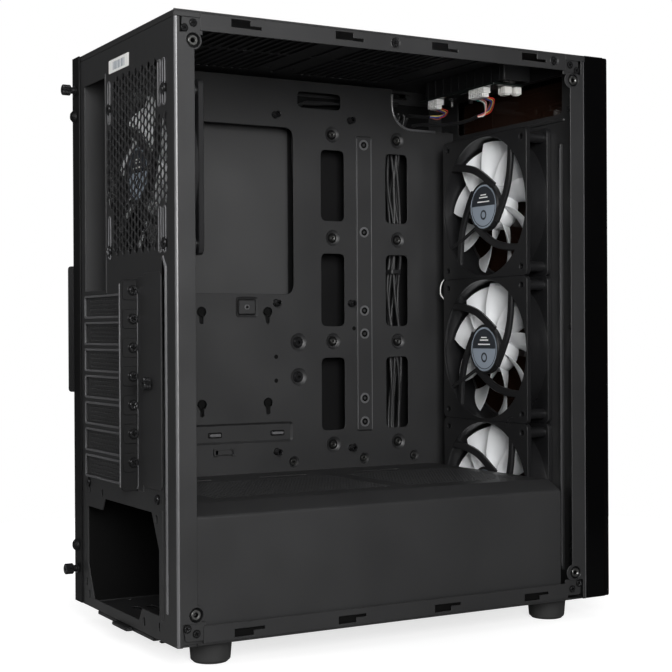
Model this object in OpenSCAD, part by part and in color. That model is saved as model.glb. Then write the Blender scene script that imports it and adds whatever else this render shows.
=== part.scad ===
// Mid-tower desktop computer case with its left side glass removed.
// +Z is up, the front glass faces -Y, the open left side faces -X.
// The origin is the middle of the footprint, on the floor.

/* [Case] */
// Width over the right side panel
case_w = 203.5; // [203:0.5:205]
// Depth of the steel chassis without the front panel
chassis_d = 348.8; // [348.8:0.2:352]
// Height of the steel chassis without the feet
chassis_h = 427.7; // [427.7:0.3:431]
// Thickness of the steel sheet
sheet = 1.0; // [0.8:0.1:1.2]
// Depth of the front panel
front_d = 22.4; // [22:0.2:26]
// Height of the feet with their pads
foot_h = 16.5; // [14:0.5:20]

/* [Rails and flanges] */
// Width of the left side's upright flanges
flange_w = 14.5; // [14:0.5:15]
// Height of the left side's top and bottom rails
rail_h = 13.4; // [13:0.2:14]
// Length of a rail's joggled end tab
tab_l = 18.9; // [18:0.3:20]
// Length of the slots that a side panel hooks into
hook_slot_l = 23; // [23:0.5:24]

/* [Board and slots] */
// Distance from the left face to the motherboard tray
tray_x = 182; // [181.5:0.5:182]
// Pitch of the expansion slots
slot_pitch = 20.32; // [20.32]
// Height of the uppermost slot's centre line
slot_top_z = 231; // [230.5:0.5:231.5]
// Number of expansion slots
slot_count = 7; // [7]

/* [Fans] */
// Side of a fan frame
fan_w = 120; // [120]
// Thickness of a fan frame
fan_t = 25; // [25]
// Distance between a fan's screw holes
fan_holes = 105; // [105]
// Number of blades on a rotor
blade_count = 9; // [7:1:9]

/* [Travel] */
// Sideways clearance between the right side panel and the chassis
panel_gap = 0.3; // [0.3:0.1:0.4]
// Radial running clearance between a fan shaft and its bearing
shaft_gap = 0.05; // [0.03:0.01:0.08]

/* [Hidden] */
$fn = 48;
slip = 0.3;
chassis_w = case_w - sheet - panel_gap;
rear_reach = 13;
rear_y = (chassis_d + front_d - rear_reach) / 2;
bulkhead_d = chassis_d - sheet;
rear_top_z = chassis_h - 5.2;
steel = "dimgray";
black = [0.1, 0.1, 0.11];
silver = "silver";

// Left side panel's screw bosses
boss_d = [13.5, 337.5];
boss_z = [21.3, 407.3];
boss_r = 6.4;
boss_post_r = 3.5;
boss_hole_r = 1.6;
boss_depth = 7;

// Tabs at the ends of the rails, with two screws each
tab_d = 3.8;
tab_z = 4.2;
tab_h = 11.4;
tab_screws = [[7.4, 12.4], [14, 8.5]];
rail_screw_d = [173.7, 318.9];
rail_screw_r = 2.8;
corner_screw_r = 2.4;

// Starts of the hook slots, from the rear
hook_slots = [42, 123.6, 205.4, 287.7];
hook_wide_l = 14.5;
hook_wide_h = 5.5;
hook_tail_h = 2.1;

// Rear panel openings
io_x = 133.5;
io_w = 44.45;
io_z = 243.2;
io_h = 158.75;
rear_fan = [71.2, 324.4];
slot_x0 = 69.5;
slot_x1 = 177.5;
slot_h = 14.4;
ledge_x = 70.5;
ledge_screw_d = -3.5;
slot_screw_up = 10.3;
psu_centre = [103.5, 47];
psu_half = [[-71.5, 15], [-58.5, 39.5], [34, 39.5], [39.5, 30.5], [71.5, 30.5]];
psu_holes = [[34.5, 84], [172.5, 84], [172.5, 20], [58.5, 10]];
psu_hole_r = 1.9;
side_screw_x = 195;
side_screw_z = [26.5, 401.6];
retainer_screw = [43.5, 176];
rear_screws = [[33.4, 96.4], [171.7, 96.4]];
screw_hole_r = 1.6;

// Front fans, from the lowest
front_fan_x = case_w / 2;
front_fan_z = [75.9, 195.9, 315.9];
front_fan_d = bulkhead_d - fan_t;

// Tray features, as [depth from the rear, height]
board_edge_d = 2.9;
board_top_z = 399.4;
board_cols = [10.16, 165.1, 237.49];
board_top_cols = [33.02, 165.1, 237.49];
board_rows = [6.35, 163.83, 288.29];
cable_cols = [[211.5, 22.8], [276, 22.6]];
cable_rows = [[127, 62], [216, 62], [306, 60.5]];
column_screws = [[222.8, 379.9], [222.8, 291.5], [222.8, 203.1], [222.8, 114.8],
    [288.2, 378.7], [288.2, 291.5], [288.2, 202.6], [288.2, 114.6]];
strip_d = 253.5;
strip_screws = [372.7, 297.2, 229.4, 209.4, 153.6, 133.3];
low_screws = [[184.4, 101.6], [253.5, 101.6], [304.5, 101.6]];
keyholes = [[100, 224.8], [160.2, 224.8], [100, 149.1], [160.2, 149.1]];

// Power supply shroud
shroud_z = 94;
shroud_x = 3;
shroud_len = 325;
shroud_fold_x = 19.5;
shroud_fold_z = 86.5;

// Drive cage
cage_d = [196, 302];
cage_x = [12, 178];
cage_h = 72;
bay_h = 33;

// Feet, as [from the left, from the rear]
foot_at = [[25, 35], [case_w - 25, 35], [25, 328], [case_w - 25, 328]];
foot_top_r = 15.5;
foot_low_r = 13.5;
pad_r = 12.5;
pad_t = 2;

// Front connector strip in the top
io_strip = [44, 162];
io_strip_d = [301, 333];
io_top_z = chassis_h + 1;
io_board_z = 410;
button_top_z = chassis_h + 1.7;
power_x = 103;
led_x = 152;
usb_x = [58, 76];
audio_x = [124, 137];
strip_mid_d = 317;

// Cable routes, as [from the left, from the rear, height]
tray_cable_front = [[190, 296, 402], [191, 291, 390], [192, 288, 370], [192, 287, 335],
    [191, 289, 290], [193, 286, 240], [191, 288, 190], [192, 287, 140], [191, 284, 100],
    [190, 270, 66], [190, 250, 52]];
tray_cable_rear = [[190, 294, 412], [190, 276, 411], [190, 250, 408], [190, 216, 407],
    [190, 196, 405], [190, 190, 390], [191, 191, 350], [191, 196, 300]];
tray_cable_low = [[197, 293, 398], [198, 282, 360], [197, 279, 300], [198, 279, 240],
    [197, 278, 180], [198, 280, 120], [198, 262, 72], [198, 240, 44]];
io_lead = [[79, 304, 401.8], [79, 305, 399], [84, 311, 394], [98, 316, 391], [122, 316, 389],
    [150, 314, 390], [172, 309, 393], [184, 306, 393]];
board_lead = [[144, 304, 401.8], [144.5, 305, 399.5], [149, 310, 397], [160, 309, 398],
    [174, 304, 400], [184, 302, 402]];
tie_z = [205, 262];

// ---------- Placing helpers ----------

// Construction frame: X from the left face, depth d from the rear face, Z from the chassis bottom.
module in_case() {
    translate([-case_w / 2, rear_y, foot_h]) children();
}

// Sheet facing X, drawn in (depth, height)
module plate_x(x, t) {
    translate([x, 0, 0]) rotate([90, 0, 90]) linear_extrude(t) mirror([1, 0]) children();
}

// Sheet facing Y, drawn in (x, height), from depth d to d + t
module plate_y(d, t) {
    translate([0, -d, 0]) rotate([90, 0, 0]) linear_extrude(t) children();
}

// Sheet facing Z, drawn in (x, depth)
module plate_z(z, t) {
    translate([0, 0, z]) linear_extrude(t) mirror([0, 1]) children();
}

module block(x, d, z, size_x, size_d, size_z) {
    translate([x, -d - size_d, z]) cube([size_x, size_d, size_z]);
}

// Round bars along X, along Y towards the front, and up Z
module rod_x(x, d, z, r, l) {
    translate([x, -d, z]) rotate([0, 90, 0]) cylinder(r = r, h = l);
}

module rod_y(x, d, z, r, l) {
    translate([x, -d, z]) rotate([90, 0, 0]) cylinder(r = r, h = l);
}

module rod_z(x, d, z, r, l) {
    translate([x, -d, z]) cylinder(r = r, h = l);
}

module rect(u, v, w, h) {
    translate([u, v]) square([w, h]);
}

module rounded_rect(u, v, w, h, r) {
    rect(u + r, v, w - 2 * r, h);
    rect(u, v + r, w, h - 2 * r);
    for (i = [r, w - r], j = [r, h - r]) translate([u + i, v + j]) circle(r);
}

module dot(u, v, r) {
    translate([u, v]) circle(r);
}

// Hexagonal perforation over a rectangle
module hex_field(u, v, w, h, pitch, r) {
    rows = floor(h / (pitch * 0.866));
    cols = floor(w / pitch);
    for (j = [0 : rows - 1], i = [0 : cols - 1])
        translate([u + (i + 0.5 + 0.5 * (j % 2) * (i < cols - 1 ? 1 : 0)) * pitch, v + (j + 0.5) * pitch * 0.866])
            if (i < cols - 1 || j % 2 == 0) rotate(30) circle(r, $fn = 6);
}

// Rows of long slots over a rectangle
module slot_field(u, v, w, h, cols, pitch, slot_w, gap) {
    each_w = (w - (cols - 1) * gap) / cols;
    for (j = [0 : floor(h / pitch) - 1], i = [0 : cols - 1])
        rect(u + i * (each_w + gap), v + j * pitch, each_w, slot_w);
}

// ---------- Left and right side edges ----------

module hook_slot(start, z_low, tail_z) {
    rect(start, z_low, hook_wide_l, hook_wide_h);
    rect(start + hook_wide_l - 0.5, tail_z, hook_slot_l - hook_wide_l + 0.5, hook_tail_h);
}

// Openings in a flange that show a rail's tab, at its lower and upper ends
module tab_windows(d0) {
    for (z = [tab_z, chassis_h - tab_z - tab_h]) rect(d0, z, tab_l - tab_d, tab_h);
}

module boss_lobes(d) {
    for (z = boss_z) dot(d, z, boss_r);
}

module boss_seats(d) {
    for (z = boss_z) dot(d, z, boss_post_r + 0.2);
}

// Outline of a side rail from the rear to the front, between the joggled tabs
module rail_outline(z0) {
    rect(tab_l, z0, chassis_d - 2 * tab_l, rail_h);
}

module rail_tabs(x, z0) {
    for (d = [tab_d - 0.8, chassis_d - tab_l - 2])
        plate_x(x, sheet) rect(d, z0, tab_l + 2.8 - tab_d, tab_h + 1.2);
}

// ---------- Chassis ----------

module slot_z(k) {
    translate([0, 0, slot_top_z - slot_pitch * k]) children();
}

module psu_opening() {
    translate(psu_centre) {
        polygon(concat(psu_half, [for (p = psu_half) -p]));
    }
}

module rear_panel() {
    grille = [33, 268, 84, 130];
    color(steel) in_case() difference() {
        union() {
            plate_y(0, sheet) difference() {
                rect(0, 0, chassis_w, rear_top_z);
                rect(io_x, io_z, io_w, io_h);
                hex_field(grille[0], grille[1], grille[2], grille[3], 10.4, 4.7);
                for (x = [rear_fan[0] - fan_holes / 2, rear_fan[0] + fan_holes / 2], z = [266.5, 366.5])
                    rounded_rect(x - 2.3, z, 4.6, 30, 2.25);
                for (k = [0 : slot_count - 1])
                    rect(slot_x0, slot_top_z - slot_pitch * k - slot_h / 2, slot_x1 - slot_x0, slot_h);
                psu_opening();
                for (p = psu_holes) dot(p[0], p[1], psu_hole_r);
                for (z = side_screw_z) dot(side_screw_x, z, screw_hole_r);
                for (p = rear_screws) dot(p[0], p[1], screw_hole_r);
                dot(retainer_screw[0], retainer_screw[1], screw_hole_r);
            }
            plate_x(0, sheet) difference() {
                union() {
                    difference() {
                        rect(0, 0, flange_w, rear_top_z);
                        tab_windows(tab_d);
                    }
                    boss_lobes(boss_d[0]);
                }
                boss_seats(boss_d[0]);
            }
            plate_x(chassis_w - sheet, sheet) rect(0, 0, flange_w, rear_top_z);
            // Ledge that the slot covers are screwed to
            plate_x(ledge_x, sheet) rect(-rear_reach, 99, rear_reach + sheet, 150);
        }
        for (k = [0 : slot_count - 1]) slot_z(k) rod_x(ledge_x - 1, ledge_screw_d, slot_screw_up, 1.6, 3);
    }
}

module top_panel() {
    color(steel) in_case() {
        difference() {
            union() {
                plate_z(chassis_h - sheet, sheet) rect(0, 0, chassis_w, chassis_d);
                plate_x(0, sheet) {
                    rail_outline(chassis_h - rail_h);
                    rect(0, rear_top_z + 0.2, chassis_d, 5);
                }
                plate_x(chassis_w - sheet, sheet) rect(tab_l, chassis_h - rail_h, bulkhead_d - tab_l - 14.5, rail_h);
                plate_y(0, sheet) rect(0, rear_top_z + 0.2, chassis_w, 5);
                rail_tabs(sheet, chassis_h - tab_z - tab_h - 0.6);
            }
            plate_z(chassis_h - 2 * sheet, 3 * sheet) {
                slot_field(54, 36, 94, 252, 3, 12, 7, 5);
                for (mid = [96, 222], i = [-1, 1], j = [-1, 1])
                    dot(101.1 + i * fan_holes / 2, mid + j * fan_holes / 2, 2.3);
                rect(io_strip[0] + 1, io_strip_d[0] + 2, io_strip[1] - io_strip[0] - 2, 28);
            }
            plate_x(-sheet, 3 * sheet) {
                for (d = hook_slots) hook_slot(d, chassis_h - 8.7, chassis_h - 8.9);
                for (d = rail_screw_d) dot(d, chassis_h - 5.8, rail_screw_r);
            }
            plate_x(chassis_w - 2 * sheet, 3 * sheet)
                for (d = hook_slots) rect(d, chassis_h - 8.9, hook_slot_l, hook_wide_h);
        }
    }
}

module bottom_panel() {
    guide_x = [43, 157];
    color(steel) in_case() {
        difference() {
            union() {
                plate_z(0, sheet) rect(sheet, sheet, chassis_w - 2 * sheet, bulkhead_d - sheet);
                plate_x(0, sheet) {
                    rail_outline(0);
                    rect(flange_w + 0.2, 0, chassis_d - 2 * flange_w - 0.4, 4);
                }
                plate_x(chassis_w - sheet, sheet) rect(tab_l, 0, bulkhead_d - tab_l - 14.5, rail_h);
                rail_tabs(sheet, tab_z - 0.6);
                // Guides that hold the dust filter under the power supply
                for (x = guide_x) block(x, 6, -5, 2, 172, 5.5);
                for (x = guide_x) block(x == guide_x[0] ? x : x - 2, 6, -5, 4, 172, 1);
            }
            plate_z(-sheet, 3 * sheet) {
                slot_field(52, 24, 98, 140, 3, 12, 7, 5);
                for (p = foot_at) dot(p[0], p[1], 2.3);
            }
            plate_x(-sheet, 3 * sheet)
                for (d = hook_slots) hook_slot(d, 3.4, 6.8);
            plate_x(chassis_w - 2 * sheet, 3 * sheet)
                for (d = hook_slots) rect(d, 3.4, hook_slot_l, hook_wide_h);
        }
    }
}

module front_bulkhead() {
    color(steel) in_case() {
        plate_y(bulkhead_d, sheet) difference() {
            rect(0, 0, chassis_w, chassis_h - sheet);
            for (z = front_fan_z) {
                dot(front_fan_x, z, 57);
                for (i = [-1, 1], j = [-1, 1])
                    dot(front_fan_x + i * fan_holes / 2, z + j * fan_holes / 2, 2.3);
            }
            rounded_rect(27.5, 385.5, 147, 32, 4);
            for (x = [14, 189], z = [40, 214, 388]) dot(x, z, 3.6);
        }
        plate_x(0, sheet) difference() {
            union() {
                difference() {
                    rect(chassis_d - flange_w, 0, flange_w - sheet, rear_top_z);
                    tab_windows(chassis_d - tab_l);
                }
                boss_lobes(boss_d[1]);
            }
            boss_seats(boss_d[1]);
        }
        plate_x(chassis_w - sheet, sheet) rect(334.3, 0, bulkhead_d - 334.3, chassis_h - 14);
    }
}

module keyhole(d, z) {
    dot(d, z + 3, 4.2);
    rect(d - 1.9, z - 5, 3.8, 7);
    dot(d, z - 5, 1.9);
}

module motherboard_tray() {
    color(steel) in_case() {
        plate_x(tray_x, sheet) difference() {
            rect(sheet, sheet, bulkhead_d - sheet, 422.6);
            // Cut-out behind the processor
            rounded_rect(84, 243, 101, 140, 9);
            for (c = cable_cols, r = cable_rows) rounded_rect(c[0], r[0], c[1], r[1], 5);
            rounded_rect(189.3, 401, 41.7, 13.5, 4);
            // Open corner for the front cables
            rounded_rect(283, 389, 80, 60, 20);
            rounded_rect(180, 14, 140, 66, 8);
            for (k = keyholes) keyhole(k[0], k[1]);
            for (p = column_screws) dot(p[0], p[1], 1.5);
            for (z = strip_screws) dot(strip_d, z, 1.5);
            for (p = low_screws) dot(p[0], p[1], 1.5);
            rect(106.6, 125, 10.4, 4);
            rect(163.8, 125, 10.9, 4);
        }
        // Folded edges towards the right side
        plate_z(422.6, sheet) rect(tray_x + sheet - 0.5, 8, 10, 270);
        plate_y(sheet, sheet) rect(tray_x + sheet - 0.5, 4, 8, 416);
    }
}

// Cross-section of the power supply shroud, in (x, height)
module shroud_section() {
    t = sheet;
    polygon([[tray_x, shroud_z], [shroud_fold_x, shroud_z], [shroud_x, shroud_fold_z],
        [shroud_x, t], [shroud_x + t, t], [shroud_x + t, shroud_fold_z - 0.6 * t],
        [shroud_fold_x + 0.2 * t, shroud_z - t], [tray_x, shroud_z - t]]);
}

module psu_shroud() {
    color(steel) in_case() difference() {
        plate_y(sheet, shroud_len - sheet) shroud_section();
        // Room for the lowest front fan
        block(shroud_fold_x - 3, front_fan_d - 0.4, 30, 200, 30, 80);
        plate_z(shroud_z - 3, 6) {
            slot_field(34, 40, 120, 96, 4, 12, 7, 6);
            slot_field(34, 170, 120, 120, 4, 12, 7, 6);
        }
        // Room for the lower rear screw post
        rod_x(shroud_x - 1, boss_d[0], boss_z[0], boss_post_r + 0.5, 4);
    }
}

function bay_z(bay) = 4 + bay * bay_h;

module drive_cage() {
    length = cage_x[1] - cage_x[0];
    color(steel) in_case() {
        for (d = cage_d) plate_y(d - sheet / 2, sheet) difference() {
            rect(cage_x[0], sheet, length, cage_h);
            hex_field(20, 12, 150, 50, 17, 6.5);
        }
        plate_z(cage_h, sheet) rect(cage_x[0], cage_d[0], length, cage_d[1] - cage_d[0]);
        // Runners under the two trays
        for (bay = [0, 1], d = [cage_d[0], cage_d[1] - 6]) block(20, d, bay_z(bay) - 1.2, 154, 6, 1.2);
    }
}

module drive_tray(bay) {
    z = bay_z(bay);
    color(black) in_case() difference() {
        block(26, cage_d[0] + 1.5, z, 150, cage_d[1] - cage_d[0] - 3, 12);
        block(27.5, cage_d[0] + 3.5, z + 2, 144, cage_d[1] - cage_d[0] - 7, 20);
        block(22, cage_d[0] + 30, z - 1, 90, 44, 10);
    }
}

module drive_tray_upper() {
    drive_tray(1);
}

module drive_tray_lower() {
    drive_tray(0);
}

// ---------- Expansion slots ----------

module slot_cover(number) {
    bracket_t = 0.8;
    tab_low = slot_screw_up - 6.9;
    root_h = slot_h / 2 - 0.1 - tab_low;
    color(steel) in_case() slot_z(number - 1) difference() {
        union() {
            plate_y(sheet, bracket_t) rect(ledge_x - bracket_t, -9, 111.5, 18);
            plate_x(ledge_x - bracket_t, bracket_t) {
                rect(-11, tab_low, 10.9, 13.8);
                rect(-0.5, tab_low, 0.5 + sheet + bracket_t, root_h);
            }
        }
        plate_y(0, 4) slot_field(78, -5.5, 94, 12, 5, 4.4, 2.2, 3);
        rod_x(ledge_x - 2, ledge_screw_d, slot_screw_up, 1.75, 3);
    }
}

module slot_cover_1() { slot_cover(1); }
module slot_cover_2() { slot_cover(2); }
module slot_cover_3() { slot_cover(3); }
module slot_cover_4() { slot_cover(4); }
module slot_cover_5() { slot_cover(5); }
module slot_cover_6() { slot_cover(6); }
module slot_cover_7() { slot_cover(7); }

module slot_cover_screws() {
    head_x = ledge_x - 0.8 - 2.2;
    color(black) in_case() for (k = [0 : slot_count - 1]) slot_z(k) difference() {
        union() {
            rod_x(head_x, ledge_screw_d, slot_screw_up, 3.2, 2.2);
            rod_x(head_x + 1, ledge_screw_d, slot_screw_up, 1.5, 8);
        }
        block(head_x - 1, ledge_screw_d - 0.5, slot_screw_up - 2, 2, 1, 4);
        block(head_x - 1, ledge_screw_d - 2, slot_screw_up - 0.5, 2, 4, 1);
    }
}

module slot_retainer_plate() {
    color(steel) in_case() plate_y(-sheet, sheet) difference() {
        rounded_rect(24, 103, 34, 150, 4);
        dot(retainer_screw[0], retainer_screw[1], screw_hole_r);
    }
}

// ---------- Fasteners on the chassis ----------

// Threaded posts that a glass side panel's screws go into
module glass_panel_standoffs() {
    color(silver) in_case() for (d = boss_d, z = boss_z) difference() {
        union() {
            rod_x(0, d, z, boss_post_r, boss_depth);
            rod_x(sheet, d, z, boss_post_r + 0.6, sheet);
        }
        rod_x(-1, d, z, boss_hole_r, boss_depth + 2);
    }
}

module cross_head(x, d, z, r) {
    difference() {
        rod_x(x, d, z, r, 1);
        block(x - 1, d - 0.35, z - 1.4, 1.6, 0.7, 2.8);
        block(x - 1, d - 1.4, z - 0.35, 1.6, 2.8, 0.7);
    }
}

module corner_screws() {
    color(black) in_case()
        for (p = tab_screws, d = [p[0], chassis_d - p[0]], z = [p[1], chassis_h - p[1]])
            cross_head(0, d, z, corner_screw_r);
}

// Screws in the top rail and on the rear face
module assembly_screws() {
    color(black) in_case() {
        for (d = rail_screw_d) cross_head(0, d, chassis_h - 5.8, rail_screw_r);
        for (p = rear_screws) difference() {
            union() {
                rod_y(p[0], -1.6, p[1], 3, 1.6);
                rod_y(p[0], -1, p[1], shaft_r, 5);
            }
            block(p[0] - 0.4, -2, p[1] - 1.8, 0.8, 1, 3.6);
        }
    }
}

module motherboard_standoffs() {
    post_l = 6.5;
    color(silver) in_case()
        for (r = [0 : 2], c = [0 : 2]) {
            d = board_edge_d + (r == 0 ? board_top_cols[c] : board_cols[c]);
            z = board_top_z - board_rows[r];
            difference() {
                rod_x(tray_x - post_l, d, z, 2.6, post_l);
                rod_x(tray_x - post_l - 1, d, z, 1.5, post_l - 1);
            }
        }
}

module tray_screws() {
    color(black) in_case() {
        for (p = column_screws) rod_x(tray_x - 1, p[0], p[1], 3.2, 1);
        for (z = strip_screws) rod_x(tray_x - 1, strip_d, z, 2.6, 1);
        for (p = low_screws) rod_x(tray_x - 1, p[0], p[1], 2.8, 1);
    }
}

// ---------- Feet ----------

module foot(index) {
    p = foot_at[index];
    color(black) in_case() translate([p[0], -p[1], 0]) difference() {
        translate([0, 0, pad_t / 2 - foot_h])
            cylinder(r1 = foot_low_r, r2 = foot_top_r, h = foot_h - pad_t / 2);
        translate([0, 0, -foot_h - 1]) cylinder(r = pad_r, h = pad_t + 1);
        translate([0, 0, -8]) cylinder(r = 2.3, h = 9);
    }
}

module foot_rear_left() { foot(0); }
module foot_rear_right() { foot(1); }
module foot_front_left() { foot(2); }
module foot_front_right() { foot(3); }

module foot_pads() {
    color(black) in_case() for (p = foot_at) rod_z(p[0], p[1], -foot_h, pad_r, pad_t);
}

// ---------- Fans ----------
// Local frame: axis along Y through the origin, strut side at 0, open side at -fan_t.

hub_r = 19.5;
label_r = 17.8;
bearing_r = 3;
shaft_r = 1.5;
duct_r = 58;

module fan_at(index) {
    mid = index == 3 ? [rear_fan[0], sheet, rear_fan[1]] : [front_fan_x, front_fan_d, front_fan_z[index]];
    in_case() translate([mid[0], -mid[1], mid[2]]) children();
}

// Curved strut from the hub to the rim: its middle line and half its width
strut_line = [[-16, -12], [-25, 1], [-32, 14], [-35, 28], [-36.5, 58]];
strut_half = 3.3;

function strut_across(i) =
    let (a = strut_line[max(i - 1, 0)], b = strut_line[min(i + 1, len(strut_line) - 1)])
    [a[1] - b[1], b[0] - a[0]] / norm(b - a);

function strut_side(side) =
    let (last = len(strut_line) - 1)
    [for (k = [0 : last]) let (i = side > 0 ? k : last - k) strut_line[i] + side * strut_half * strut_across(i)];

module fan_frame(index) {
    rim = 4;
    color(black) fan_at(index) {
        difference() {
            union() {
                for (d = [0, fan_t - rim]) plate_y(d, rim) difference() {
                    rounded_rect(-fan_w / 2, -fan_w / 2, fan_w, fan_w, 4);
                    circle(duct_r, $fn = 96);
                }
                plate_y(1, fan_t - 2) difference() {
                    circle(duct_r + 1.6, $fn = 96);
                    circle(duct_r, $fn = 96);
                }
                for (a = [0 : 3]) rotate([0, 90 * a, 0]) plate_y(0, 3.5) polygon(concat(strut_side(1), strut_side(-1)));
                rod_y(0, 0, 0, hub_r, 5);
                rod_y(0, 4, 0, bearing_r + 1.5, 14);
            }
            rod_y(0, -1, 0, label_r, 1.5);
            rod_y(0, 5, 0, bearing_r, 20);
            for (i = [-1, 1], j = [-1, 1])
                rod_y(i * fan_holes / 2, -1, j * fan_holes / 2, 2.15, fan_t + 2);
        }
    }
}

module fan_rotor(index) {
    color("gainsboro") fan_at(index) {
        difference() {
            rod_y(0, 7, 0, hub_r - 0.5, 17);
            rod_y(0, 6, 0, hub_r - 2.5, 15.5);
        }
        rod_y(0, 6.5, 0, shaft_r, 15.5);
        for (b = [0 : blade_count - 1]) rotate([0, b * 360 / blade_count, 0])
            translate([hub_r - 1.5, -15.5, 0]) rotate([40, 0, 0])
                translate([0, -0.7, -11]) cube([55.5 - hub_r + 1.5, 1.4, 22]);
    }
}

module fan_frame_lower() { fan_frame(0); }
module fan_frame_middle() { fan_frame(1); }
module fan_frame_upper() { fan_frame(2); }
module fan_frame_rear() { fan_frame(3); }
module fan_rotor_lower() { fan_rotor(0); }
module fan_rotor_middle() { fan_rotor(1); }
module fan_rotor_upper() { fan_rotor(2); }
module fan_rotor_rear() { fan_rotor(3); }

module fan_bearings() {
    color("goldenrod") for (index = [0 : 3]) fan_at(index) difference() {
        rod_y(0, 5, 0, bearing_r, 13);
        rod_y(0, 4, 0, shaft_r + shaft_gap, 15);
    }
}

module fan_labels() {
    color("lightsteelblue") for (index = [0 : 3]) fan_at(index) rod_y(0, 0.1, 0, label_r, 0.4);
}

module front_fan_screws() {
    color(black) in_case() for (z = front_fan_z, i = [-1, 1], j = [-1, 1])
        translate([front_fan_x + i * fan_holes / 2, 0, z + j * fan_holes / 2]) {
            rod_y(0, bulkhead_d - 8, 0, 2, 9);
            rod_y(0, chassis_d, 0, 4, 1.6);
        }
}

module rear_fan_screws() {
    color(black) in_case() for (i = [-1, 1], j = [-1, 1])
        translate([rear_fan[0] + i * fan_holes / 2, 0, rear_fan[1] + j * fan_holes / 2]) {
            rod_y(0, -1, 0, 2, 10);
            rod_y(0, -1.6, 0, 4, 1.6);
        }
}

// ---------- Front connectors ----------

module io_housing() {
    w = io_strip[1] - io_strip[0];
    wall = 1.5;
    color(black) in_case() difference() {
        union() {
            plate_z(chassis_h, 1) rounded_rect(io_strip[0], io_strip_d[0], w, 32, 4);
            block(io_strip[0] + 1.5, io_strip_d[0] + 2.5, 412.5, w - 3, 27, 16);
        }
        block(io_strip[0] + 1.5 + wall, io_strip_d[0] + 2.5 + wall, 411, w - 3 - 2 * wall, 27 - 2 * wall, 14.2);
        rod_z(power_x, strip_mid_d, 420, 8.8, 20);
        rod_z(led_x, strip_mid_d, 420, 4.3, 20);
        for (x = usb_x) block(x - 6.7, strip_mid_d - 3.1, 420, 13.4, 6.2, 20);
        for (x = audio_x) rod_z(x, strip_mid_d, 420, 4.1, 20);
    }
}

module io_board() {
    color("darkgreen") in_case() {
        block(55, 300, io_board_z, 109, 31, 1.6);
        // Switches that the two buttons press
        for (x = [power_x, led_x]) block(x - 3, strip_mid_d - 3, io_board_z + 1.5, 6, 6, 5);
    }
}

module usb_ports() {
    color(silver) in_case() for (x = usb_x) {
        difference() {
            block(x - 6.6, strip_mid_d - 2.9, io_board_z + 1.6, 13.2, 5.8, io_top_z - io_board_z - 1.7);
            block(x - 6.1, strip_mid_d - 2.4, io_board_z + 5, 12.2, 4.8, 20);
        }
        block(x - 5, strip_mid_d - 1.6, io_board_z + 4, 10, 1.4, 11);
    }
}

module audio_jacks() {
    color(black) in_case() for (x = audio_x) difference() {
        rod_z(x, strip_mid_d, io_board_z + 1.6, 4, io_top_z - io_board_z - 1.7);
        rod_z(x, strip_mid_d, io_board_z + 4, 1.8, 20);
    }
}

module push_button(x, cap_r) {
    color(black) in_case() {
        rod_z(x, strip_mid_d, chassis_h - 3, cap_r, button_top_z - chassis_h + 3);
        rod_z(x, strip_mid_d, io_board_z + 8.6, 2, 10);
    }
}

module power_button() { push_button(power_x, 8.5); }
module led_button() { push_button(led_x, 4); }

// Sockets and plugs on the underside of the connector board
module board_connectors() {
    color("white") in_case() {
        block(66, 300, io_board_z - 8, 27, 8, 8);
        block(133.5, 300, io_board_z - 8, 21, 8, 8);
        block(58, 314, io_board_z - 6, 10, 7, 6);
    }
}

// ---------- Cables ----------

function unit(v) = v / norm(v);

// One point of the smooth curve through p, at t between points i and i + 1
function spline_at(p, i, t) =
    let (last = len(p) - 1, a = p[max(i - 1, 0)], b = p[i], c = p[i + 1], e = p[min(i + 2, last)])
    0.5 * (2 * b + (c - a) * t + (2 * a - 5 * b + 4 * c - e) * t * t + (3 * b - a - 3 * c + e) * t * t * t);

function smooth_path(p, steps) =
    concat([for (i = [0 : len(p) - 2], s = [0 : steps - 1]) spline_at(p, i, s / steps)], [p[len(p) - 1]]);

// Closed tube of radius r along a route, with its rings across the local direction
module cable(route, r, sides = 8, steps = 3) {
    path = [for (q = smooth_path(route, steps)) [q[0], -q[1], q[2]]];
    n = len(path);
    side_of = [0.3, 1, 0.2];
    rings = [for (i = [0 : n - 1])
        let (dir = unit(path[min(i + 1, n - 1)] - path[max(i - 1, 0)]),
            u = unit(cross(dir, side_of)), v = cross(dir, u))
        for (k = [0 : sides - 1]) path[i] + r * (cos(360 * k / sides) * u + sin(360 * k / sides) * v)];
    walls = [for (i = [0 : n - 2], k = [0 : sides - 1])
        [i * sides + k, (i + 1) * sides + k, (i + 1) * sides + (k + 1) % sides, i * sides + (k + 1) % sides]];
    caps = [[for (k = [0 : sides - 1]) k], [for (k = [sides - 1 : -1 : 0]) (n - 1) * sides + k]];
    color(black) in_case() polyhedron(rings, concat(walls, caps));
}

module cable_tray_front() { cable(tray_cable_front, 4); }
module cable_tray_rear() { cable(tray_cable_rear, 2.5); }
module cable_tray_low() { cable(tray_cable_low, 3); }

module cable_io_leads() {
    cable(io_lead, 1.6, 8, 2);
    cable(board_lead, 1.6, 8, 2);
}

// Ties that hold the bundle to the back of the tray
module cable_ties() {
    color(black) in_case() for (z = tie_z) difference() {
        block(tray_x + sheet, 282, z, 14.5, 11, 3.5);
        block(tray_x + sheet + 1.2, 283.2, z - 1, 12.1, 8.6, 6);
    }
}

// ---------- Front panel ----------

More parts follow.
